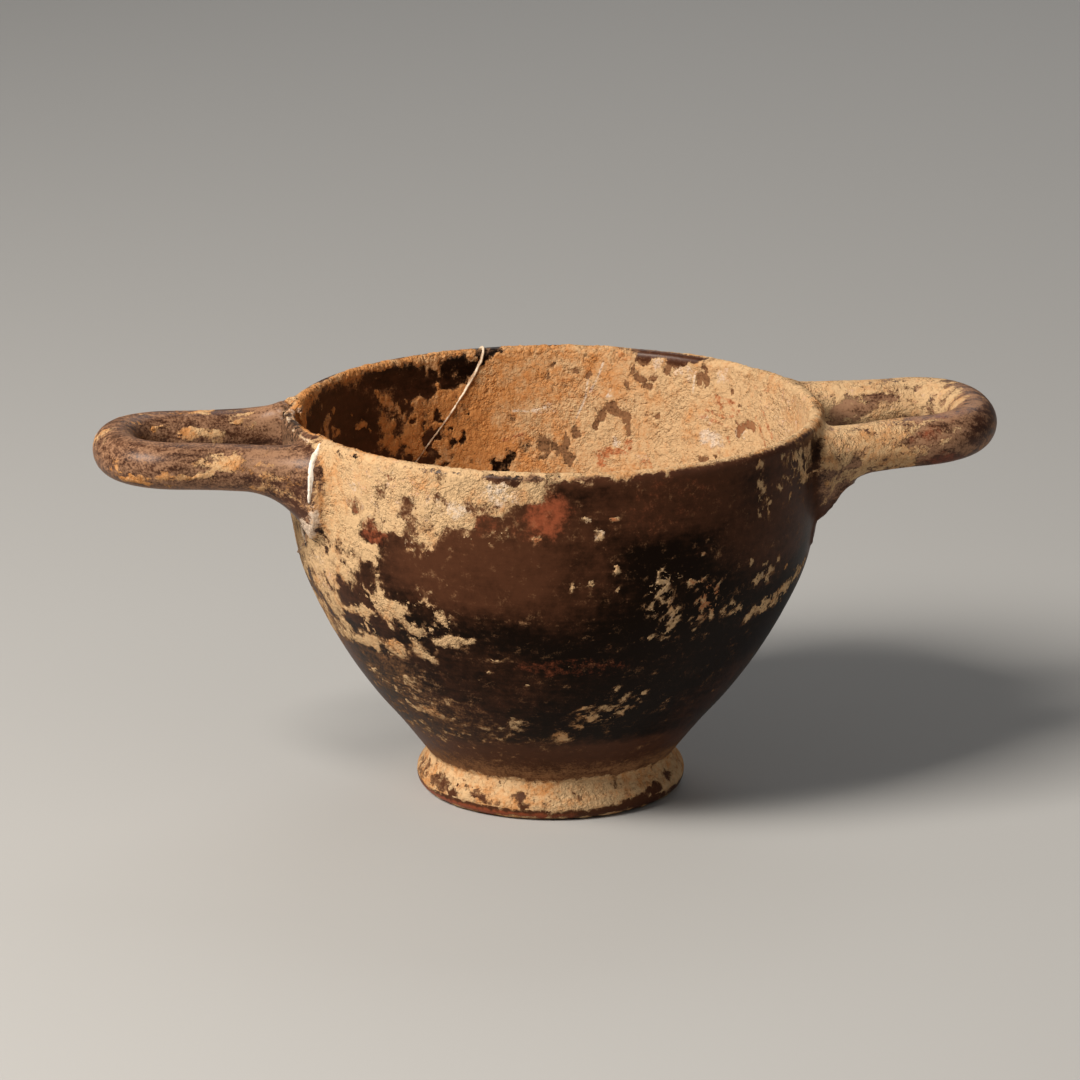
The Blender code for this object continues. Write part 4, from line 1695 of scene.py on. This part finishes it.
@dataclass(frozen=True)
class FillFinish:
    """Set plaster or glue, cream white and a little dirty."""

    name: str
    clean: Colour
    dirty: Colour
    roughness: float
    soiling: float

    def make(self) -> bpy.types.Material:
        """Builds the material.

        Returns:
            The finished material.
        """
        shop = Workshop(self.name)
        cloud = shop.noise(0.0030, 4.0, 0.6)
        grit = shop.noise(0.0007, 3.0, 0.6)
        soiled = (shop.attribute(Painted.SOILED) + (cloud - 0.5) * 1.4 + self.soiling).ramp(0.3, 0.9)
        base = shop.mix(soiled, self.clean, self.dirty)
        shop.relief(cloud * 0.7 + grit * 0.3, 0.00025)
        return shop.finish(base_color=base, roughness=self.roughness + soiled * 0.1, metallic=0.0)


OLD_GLUE = FillFinish(
    name="old_glue", clean=(0.70, 0.55, 0.39), dirty=(0.36, 0.20, 0.10), roughness=0.5, soiling=0.0
)
PLASTER = FillFinish(
    name="plaster_fill", clean=(0.90, 0.80, 0.68), dirty=(0.56, 0.41, 0.28), roughness=0.7, soiling=-0.08
)


@dataclass(frozen=True)
class FloorFinish:
    """A plain pale matt floor."""

    colour: Colour = (0.44, 0.43, 0.415)

    def make(self) -> bpy.types.Material:
        """Builds the material.

        Returns:
            The finished material.
        """
        shop = Workshop("pale_floor")
        cloud = shop.noise(0.6, 2.0, 0.5)
        base = shop.mix(cloud * 0.06, self.colour, tuple(0.9 * part for part in self.colour))
        return shop.finish(base_color=base, roughness=0.9, metallic=0.0, specular_ior_level=0.2)


def read_points(mesh: bpy.types.Mesh) -> Array:
    """The mesh's points, one a row.

    Args:
        mesh: the mesh to read.

    Returns:
        x, y and z in metres.
    """
    flat = np.empty(len(mesh.vertices) * 3)
    mesh.vertices.foreach_get("co", flat)
    return flat.reshape(-1, 3)


def write_points(mesh: bpy.types.Mesh, points: Array) -> None:
    """Moves the mesh's points."""
    mesh.vertices.foreach_set("co", points.ravel())
    mesh.update()


def paint(mesh: bpy.types.Mesh, painted: dict[Painted, Array]) -> None:
    """Keeps values on each point of the mesh, for its material, in place of any from before.

    Args:
        mesh: the mesh to paint.
        painted: one value a point for each layer.
    """
    before = [layer for layer in mesh.attributes if (layer.domain, layer.data_type) == ("POINT", "FLOAT")]
    for name in [layer.name for layer in before]:
        mesh.attributes.remove(mesh.attributes[name])
    for name, values in painted.items():
        layer = mesh.attributes.new(name.value, "FLOAT", "POINT")
        layer.data.foreach_set("value", np.asarray(values, np.float32))


def only(piece: bpy.types.Object) -> None:
    """Makes a piece the one that is selected and active.

    Args:
        piece: the object to select.
    """
    bpy.ops.object.select_all(action="DESELECT")
    piece.select_set(True)
    bpy.context.view_layer.objects.active = piece


def set_in_place(piece: bpy.types.Object) -> None:
    """Puts the piece's place, turn and scale into its mesh."""
    only(piece)
    bpy.ops.object.transform_apply(location=True, rotation=True, scale=True)


def belongs(piece: bpy.types.Object, material: bpy.types.Material) -> None:
    """Gives a piece its finish, makes it ride on the cup with the cup's slot, and logs its size.

    Args:
        piece: the object, whose mesh is finished.
        material: its finish.
    """
    piece.data.materials.clear()
    piece.data.materials.append(material)
    piece.data.shade_smooth()
    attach(piece, BODY)
    triangles = sum(len(polygon.vertices) - 2 for polygon in piece.data.polygons)
    logging.info("%s: %d triangles", piece.name, triangles)


@dataclass
class FiredCup:
    """The one fired piece: bowl, foot and handles."""

    surface: CupSurface
    turns: int = 120
    bar_sides: int = 20
    voxel: float = 1.0 * MM
    ring_gap: float = 1.6 * MM
    arm_rings: tuple[float, ...] = (0.0, 0.002, 0.004, 0.007, 0.011)  # metres out from the middle of the wall

    def rings(self) -> Array:
        """The turned outline thinned to rings that stand apart, without its two ends on the axis.

        Returns:
            Radius and height of each ring.
        """
        kept = []
        for point in self.surface.form.profile():
            if point[0] > MM and (not kept or np.hypot(*(point - kept[-1])) > self.ring_gap):
                kept.append(point)
        return np.array(kept)

    def turn_bowl(self) -> bpy.types.Object:
        """Draws a circle from the floor out, up the wall, over the lip and down to the foot.

        Returns:
            The closed bowl with its foot.
        """
        rings = self.rings()
        bpy.ops.object.select_all(action="DESELECT")
        bpy.ops.mesh.primitive_circle_add(
            vertices=self.turns, radius=rings[0][0], location=(0, 0, rings[0][1]), fill_type="NOTHING"
        )
        bowl = bpy.context.object
        bpy.ops.object.mode_set(mode="EDIT")
        bpy.ops.mesh.select_all(action="SELECT")
        for before, after in zip(rings, rings[1:]):
            wider = after[0] / before[0]
            bpy.ops.mesh.extrude_region_move(TRANSFORM_OT_translate={"value": (0, 0, after[1] - before[1])})
            bpy.ops.transform.resize(value=(wider, wider, 1), center_override=(0, 0, after[1]))
        bpy.ops.mesh.select_all(action="DESELECT")
        bpy.ops.mesh.select_non_manifold()
        bpy.ops.mesh.fill_holes(sides=0)
        bpy.ops.mesh.select_all(action="SELECT")
        bpy.ops.mesh.normals_make_consistent(inside=False)
        bpy.ops.object.mode_set(mode="OBJECT")
        set_in_place(bowl)
        return bowl

    def bend_handle(self, handle: LoopHandle) -> bpy.types.Object:
        """Draws a bar out of the wall, spins it round the bend and brings it back.

        Args:
            handle: its sizes.

        Returns:
            The closed bar, in its place.
        """
        spread = handle.root_spread / 2
        start = handle.wall_x - handle.form.wall / 2
        arm_x = [*(start + out for out in self.arm_rings), handle.bend_x]
        height = float(handle.middle_height(handle.bend_x, 0.0))
        bpy.ops.object.select_all(action="DESELECT")
        bpy.ops.mesh.primitive_circle_add(
            vertices=self.bar_sides,
            radius=handle.bar,
            location=(start, -spread, height),
            rotation=(0, math.pi / 2, 0),
            fill_type="NGON",
        )
        bar = bpy.context.object
        set_in_place(bar)
        bpy.ops.object.mode_set(mode="EDIT")
        bpy.ops.mesh.select_all(action="SELECT")
        self.stretch_ring(handle, start, start, -spread, height)
        self.draw_arm(handle, arm_x, -1, height)
        bpy.ops.mesh.spin(steps=16, angle=-math.pi, center=(handle.bend_x, 0, height), axis=(0, 0, 1))
        self.draw_arm(handle, arm_x[::-1], 1, height)
        bpy.ops.mesh.select_all(action="SELECT")
        bpy.ops.mesh.remove_doubles(threshold=0.01 * MM)
        bpy.ops.mesh.normals_make_consistent(inside=False)
        bpy.ops.object.mode_set(mode="OBJECT")
        if handle.side < 0:
            bar.rotation_euler = (0, 0, math.pi)
        set_in_place(bar)
        return bar

    def draw_arm(self, handle: LoopHandle, stations: list[float], way: int, height: float) -> None:
        """Draws the selected ring on from station to station of one arm, and shapes it at each.

        Args:
            handle: the handle it belongs to.
            stations: x of each ring, beginning with the selected one.
            way: -1 for the arm on the -Y side, 1 for the other.
            height: of the bar's middle.
        """
        out = smooth(handle.wall_x, handle.bend_x, np.array(stations))
        sides = (way * lerp(handle.root_spread / 2, handle.bend_spread / 2, out)).tolist()
        for x, after, y_before, y in zip(stations, stations[1:], sides, sides[1:]):
            bpy.ops.mesh.extrude_region_move(TRANSFORM_OT_translate={"value": (after - x, y - y_before, 0)})
            self.stretch_ring(handle, x, after, y, height)

    def stretch_ring(self, handle: LoopHandle, before: float, x: float, y: float, height: float) -> None:
        """Widens the selected ring from the section it came with to that of its place.

        Args:
            handle: the handle it belongs to.
            before: x of the section it came with, or its own x for a plain circle.
            x: where it is.
            y: where it is.
            height: of the bar's middle.
        """
        was, now = handle.section(np.array(before)), handle.section(np.array(x))
        if before == x:
            was = (handle.bar, handle.bar, handle.bar)
        tall = float((now[1] + now[2]) / (was[1] + was[2]))
        wide = float(now[0] / was[0])
        lowered = float((was[2] - was[1]) / 2)
        sunk = float((now[2] - now[1]) / 2) - lowered
        bpy.ops.transform.resize(value=(1, wide, tall), center_override=(x, y, height - lowered))
        bpy.ops.transform.translate(value=(0, 0, -sunk))

    def build(self) -> bpy.types.Object:
        """Joins bowl and handles into one skin and works it to the cup's true surface.

        Returns:
            The cup, not yet painted.
        """
        cup = self.turn_bowl()
        bars = [self.bend_handle(handle) for handle in self.surface.handles]
        only(cup)
        for bar in bars:
            bar.select_set(True)
        bpy.ops.object.join()
        cup.name = "fired_cup"
        cup.data.name = "fired_cup"
        skin = cup.modifiers.new("skin", "REMESH")
        skin.mode = "VOXEL"
        skin.voxel_size = self.voxel
        bpy.ops.object.modifier_apply(modifier=skin.name)
        lean = self.surface.form.rim_shift / self.surface.form.rim_height
        points = read_points(cup.data)
        points[:, 0] += points[:, 2] * lean
        write_points(cup.data, self.surface.settle(points, 4))
        return cup

    def dress(
        self, cup: bpy.types.Object, weathering: Weathering, cover: Array, skin: bpy.types.Material
    ) -> None:
        """Paints the cup's wear and gives it its finish.

        Args:
            cup: the built cup.
            weathering: the wear at its points.
            cover: the cover of earth there.
            skin: its finish.
        """
        paint(cup.data, weathering.painted(cover))
        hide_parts(NODE)
        belongs(cup, skin)


@dataclass
class Coat:
    """Something that lies on the fired surface: a part of the cup's skin, made finer and raised."""

    name: str
    surface: CupSurface
    cuts: int
    wanted: Array  # which of the cup's points it reaches
    shape: Callable[[Places], tuple[Array, dict[Painted, Array]]]
    material: bpy.types.Material

    def build(self, cup: bpy.types.Object) -> bpy.types.Object:
        """Copies the wanted faces of the cup, refines them, settles them and raises them.

        Args:
            cup: the finished cup.

        Returns:
            The coat.
        """
        coat = cup.copy()
        coat.data = cup.data.copy()
        coat.name = self.name
        coat.data.name = self.name
        bpy.context.scene.collection.objects.link(coat)
        only(coat)
        mesh = coat.data
        corners = np.empty(len(mesh.loops), int)
        mesh.loops.foreach_get("vertex_index", corners)
        starts = np.empty(len(mesh.polygons), int)
        mesh.polygons.foreach_get("loop_start", starts)
        kept = np.maximum.reduceat(self.wanted[corners].astype(int), starts) > 0
        bpy.ops.object.mode_set(mode="EDIT")
        bpy.ops.mesh.select_mode(type="FACE")
        bpy.ops.mesh.select_all(action="DESELECT")
        bpy.ops.object.mode_set(mode="OBJECT")
        mesh.polygons.foreach_set("select", ~kept)
        bpy.ops.object.mode_set(mode="EDIT")
        bpy.ops.mesh.delete(type="FACE")
        bpy.ops.mesh.select_all(action="SELECT")
        if self.cuts:
            bpy.ops.mesh.subdivide(number_cuts=self.cuts)
        bpy.ops.object.mode_set(mode="OBJECT")
        finer = Places.read(self.surface, self.surface.settle(read_points(mesh), 1))
        raised, painted = self.shape(finer)
        write_points(mesh, finer.points + finer.facing * raised[:, None])
        paint(mesh, painted)
        belongs(coat, self.material)
        return coat


SUNK = 0.22 * MM


class EarthCoats:
    """The crusts of earth all over the cup, in parts that each stay light enough."""

    SEEN_INSIDE = 54  # millimetres; above it the far wall inside is seen in the photo
    NEAR_WALL = (174, 350)  # degrees of the wall whose inner face is turned away
    FRONT = (178, 356)  # degrees of the outside that is turned to the camera
    LEFT_END, RIGHT_START = 262, 260  # degrees; the two coats of the front overlap a little
    FOOT_END, BOWL_START = 10.5, 9.5  # millimetres; so do the foot's and the bowl's

    def __init__(self, surface: CupSurface, skin: bpy.types.Material) -> None:
        """Keeps what the crusts share."""
        self.surface = surface
        self.skin = skin

    @staticmethod
    def shape(places: Places) -> tuple[Array, dict[Painted, Array]]:
        """Height and painted values of the crust.

        Args:
            places: the coat's points.

        Returns:
            Metres above the fired surface, and the painted values.
        """
        weathering = Weathering(places)
        cover = weathering.cover()
        return weathering.raised(cover), weathering.painted(cover)

    def build(self, cup: bpy.types.Object, places: Places, cover: Array) -> None:
        """Lays every crust.

        Args:
            cup: the finished cup.
            places: its points.
            cover: the cover of earth there.
        """
        azimuth, height = places.azimuth, places.height
        reaches = cover > -Weathering.MARGIN
        inner = places.inner > 0.3
        far_wall = (azimuth < self.NEAR_WALL[0]) | (azimuth > self.NEAR_WALL[1])
        seen_inside = inner & (height > self.SEEN_INSIDE) & far_wall
        on_handle = places.handle > 0.4
        outer = (places.inner < 0.7) & (places.handle < 0.6)
        front = (azimuth > self.FRONT[0]) & (azimuth < self.FRONT[1])
        on_foot = outer & (height < self.FOOT_END)
        bowl = outer & (height > self.BOWL_START)
        parts = (
            ("earth_inside_seen", 2, seen_inside),
            ("earth_inside_deep", 0, inner & ~seen_inside),
            ("earth_outside_left", 2, bowl & front & (azimuth < self.LEFT_END)),
            ("earth_outside_right", 2, bowl & front & (azimuth > self.RIGHT_START)),
            ("earth_outside_back", 0, bowl & ~front),
            ("earth_on_foot", 1, on_foot),
            ("earth_on_handles", 1, on_handle),
        )
        for name, cuts, part in parts:
            Coat(name, self.surface, cuts, part & reaches, self.shape, self.skin).build(cup)


class Mends:
    """The glue that stands in the break, and the plaster beside the left handle."""

    GLUE_HALF_WIDTH = 0.28
    PLASTER_HALF_WIDTH = 0.34
    REACH = 1.3

    def __init__(self, surface: CupSurface) -> None:
        """Makes the two finishes.

        Args:
            surface: the cup's surface.
        """
        self.surface = surface
        self.glue = OLD_GLUE.make()
        self.plaster = PLASTER.make()

    @staticmethod
    def bead(gap: Array, half_width: Array, tall: Array) -> Array:
        """Height of a rounded bead across its width, dipping under the surface beyond it.

        Args:
            gap: millimetres from the bead's middle line.
            half_width: millimetres.
            tall: metres.

        Returns:
            Metres above the fired surface.
        """
        across = gap / half_width
        under = -2 * SUNK * np.clip((across - 1) / 1.5, 0, 1)
        return np.where(across < 1, tall * np.sqrt(np.clip(1 - across**2, 0, 1)), under)

    def glue_shape(self, places: Places) -> tuple[Array, dict[Painted, Array]]:
        """The glue line: widest and whitest half way down to the break's bend.

        Args:
            places: the coat's points.

        Returns:
            Metres above the fired surface, and the painted values.
        """
        gap, along = places.from_line(BREAK_LINE)
        wander = grain(places.points, 2.2 * MM, 3, 21.0)
        rough = grain(places.points, 0.8 * MM, 2, 23.0)
        depth = 1 - smooth(0.18, 0.34, along)
        half = self.GLUE_HALF_WIDTH * (0.75 + 0.45 * depth + 0.55 * wander + 0.30 * rough)
        tall = (0.28 + 0.30 * depth + 0.20 * wander + 0.10 * rough) * MM
        soiled = 0.80 - 0.55 * depth + 0.5 * wander + 0.5 * smooth(0.5, 0.9, gap / self.GLUE_HALF_WIDTH)
        return self.bead(gap, np.maximum(half, 0.17), np.maximum(tall, 0.12 * MM)), {Painted.SOILED: soiled}

    def plaster_shape(self, places: Places) -> tuple[Array, dict[Painted, Array]]:
        """The plaster line at the handle's root, thin at its ends.

        Args:
            places: the coat's points.

        Returns:
            Metres above the fired surface, and the painted values.
        """
        gap, along = places.from_line(PLASTER_LINE)
        wander = grain(places.points, 1.9 * MM, 3, 22.0)
        half = self.PLASTER_HALF_WIDTH * (0.25 + 0.95 * np.sqrt(np.sin(math.pi * along)) + 0.35 * wander)
        tall = np.maximum(0.22 + 0.22 * np.sin(math.pi * along) + 0.15 * wander, 0.1) * MM
        return self.bead(gap, np.maximum(half, 0.12), tall), {Painted.SOILED: 0.30 + 0.5 * wander}

    def build(self, cup: bpy.types.Object, places: Places) -> None:
        """Lays the glue on both faces of the break, and the plaster.

        Args:
            cup: the finished cup.
            places: its points.
        """
        break_gap, _ = places.from_line(BREAK_LINE)
        plaster_gap, _ = places.from_line(PLASTER_LINE)
        beside = (places.inner < 0.7) & (plaster_gap < 1.3 * self.REACH)
        in_break = (break_gap < self.REACH) & (places.handle < 0.5)
        Coat("glue_line", self.surface, 4, in_break, self.glue_shape, self.glue).build(cup)
        Coat("plaster_line", self.surface, 4, beside, self.plaster_shape, self.plaster).build(cup)


@dataclass(frozen=True)
class Lamp:
    """A soft square light aimed at the cup."""

    name: str
    azimuth: float  # degrees, 0 in front of the cup
    elevation: float
    away: float  # metres from the cup
    size: float  # metres along a side
    power: float  # watts
    colour: Colour


@dataclass(frozen=True)
class Studio:
    """Floor, lights and the camera at the photograph's viewing angle."""

    azimuth: float = -8.0
    elevation: float = 15.67
    distance: float = 1.146
    pixels_per_tangent: float = 5098.0  # the camera's focal length in pixels of the reference frame
    aside: float = -0.00235
    aim_height: float = 0.0567
    sensor: float = 36.0
    floor_size: float = 14.0
    lamps: tuple[Lamp, ...] = (
        Lamp("key", -60, 42, 1.3, 0.5, 26.0, (1.0, 0.95, 0.88)),
        Lamp("fill", 50, 30, 2.0, 1.6, 2.2, (1.0, 0.97, 0.94)),
        Lamp("back", 160, 42, 1.7, 0.9, 5.0, (0.96, 0.98, 1.0)),
    )
    sky: Colour = (0.92, 0.90, 0.88)
    sky_strength: float = 0.13

    def way(self, azimuth: float, elevation: float) -> Vector:
        """The direction towards a place round the cup; azimuth 0 is in front."""
        a, e = math.radians(azimuth), math.radians(elevation)
        return Vector((math.sin(a) * math.cos(e), -math.cos(a) * math.cos(e), math.sin(e)))

    def camera(self) -> None:
        """Places the camera."""
        data = bpy.data.cameras.new("camera")
        data.sensor_width = self.sensor
        data.lens = self.sensor * self.pixels_per_tangent / PHOTO_SIDE
        data.clip_start, data.clip_end = 0.05, 60.0
        camera = bpy.data.objects.new("camera", data)
        back = self.way(self.azimuth, self.elevation)
        a = math.radians(self.azimuth)
        right = Vector((math.cos(a), math.sin(a), 0.0))
        camera.location = right * self.aside + Vector((0, 0, self.aim_height)) + back * self.distance
        camera.rotation_euler = (-back).to_track_quat("-Z", "Y").to_euler()
        bpy.context.scene.collection.objects.link(camera)
        bpy.context.scene.camera = camera

    def light(self, lamp: Lamp) -> None:
        """Hangs one lamp.

        Args:
            lamp: its place, size and light.
        """
        data = bpy.data.lights.new(lamp.name, "AREA")
        data.shape = "SQUARE"
        data.size = lamp.size
        data.energy = lamp.power
        data.color = lamp.colour
        light = bpy.data.objects.new(lamp.name, data)
        way = self.way(lamp.azimuth, lamp.elevation)
        light.location = way * lamp.away + Vector((0, 0, self.aim_height))
        light.rotation_euler = (-way).to_track_quat("-Z", "Y").to_euler()
        bpy.context.scene.collection.objects.link(light)

    def floor(self) -> None:
        """A wide, level, pale floor."""
        bpy.ops.object.select_all(action="DESELECT")
        bpy.ops.mesh.primitive_grid_add(
            x_subdivisions=8, y_subdivisions=8, size=self.floor_size, location=(0, 0, 0)
        )
        floor = bpy.context.object
        floor.name = "floor"
        set_in_place(floor)
        floor.data.materials.append(FloorFinish().make())

    def build(self) -> None:
        """Sets the scene up."""
        self.floor()
        self.camera()
        for lamp in self.lamps:
            self.light(lamp)
        world = bpy.data.worlds.new("studio")
        world.use_nodes = True
        background = world.node_tree.nodes["Background"]
        background.inputs["Color"].default_value = (*self.sky, 1.0)
        background.inputs["Strength"].default_value = self.sky_strength
        bpy.context.scene.world = world
        bpy.context.scene.view_settings.view_transform = "Standard"


def main() -> None:
    """Builds the cup, its coats and the studio."""
    logging.basicConfig(level=logging.INFO, format="%(message)s")
    surface = CupSurface()
    skin = SkinFinish().make()
    fired = FiredCup(surface)
    cup = fired.build()
    places = Places.read(surface, read_points(cup.data))
    weathering = Weathering(places)
    cover = weathering.cover()
    fired.dress(cup, weathering, cover, skin)
    EarthCoats(surface, skin).build(cup, places, cover)
    Mends(surface).build(cup, places)
    Studio().build()


if __name__ == "__main__":
    main()
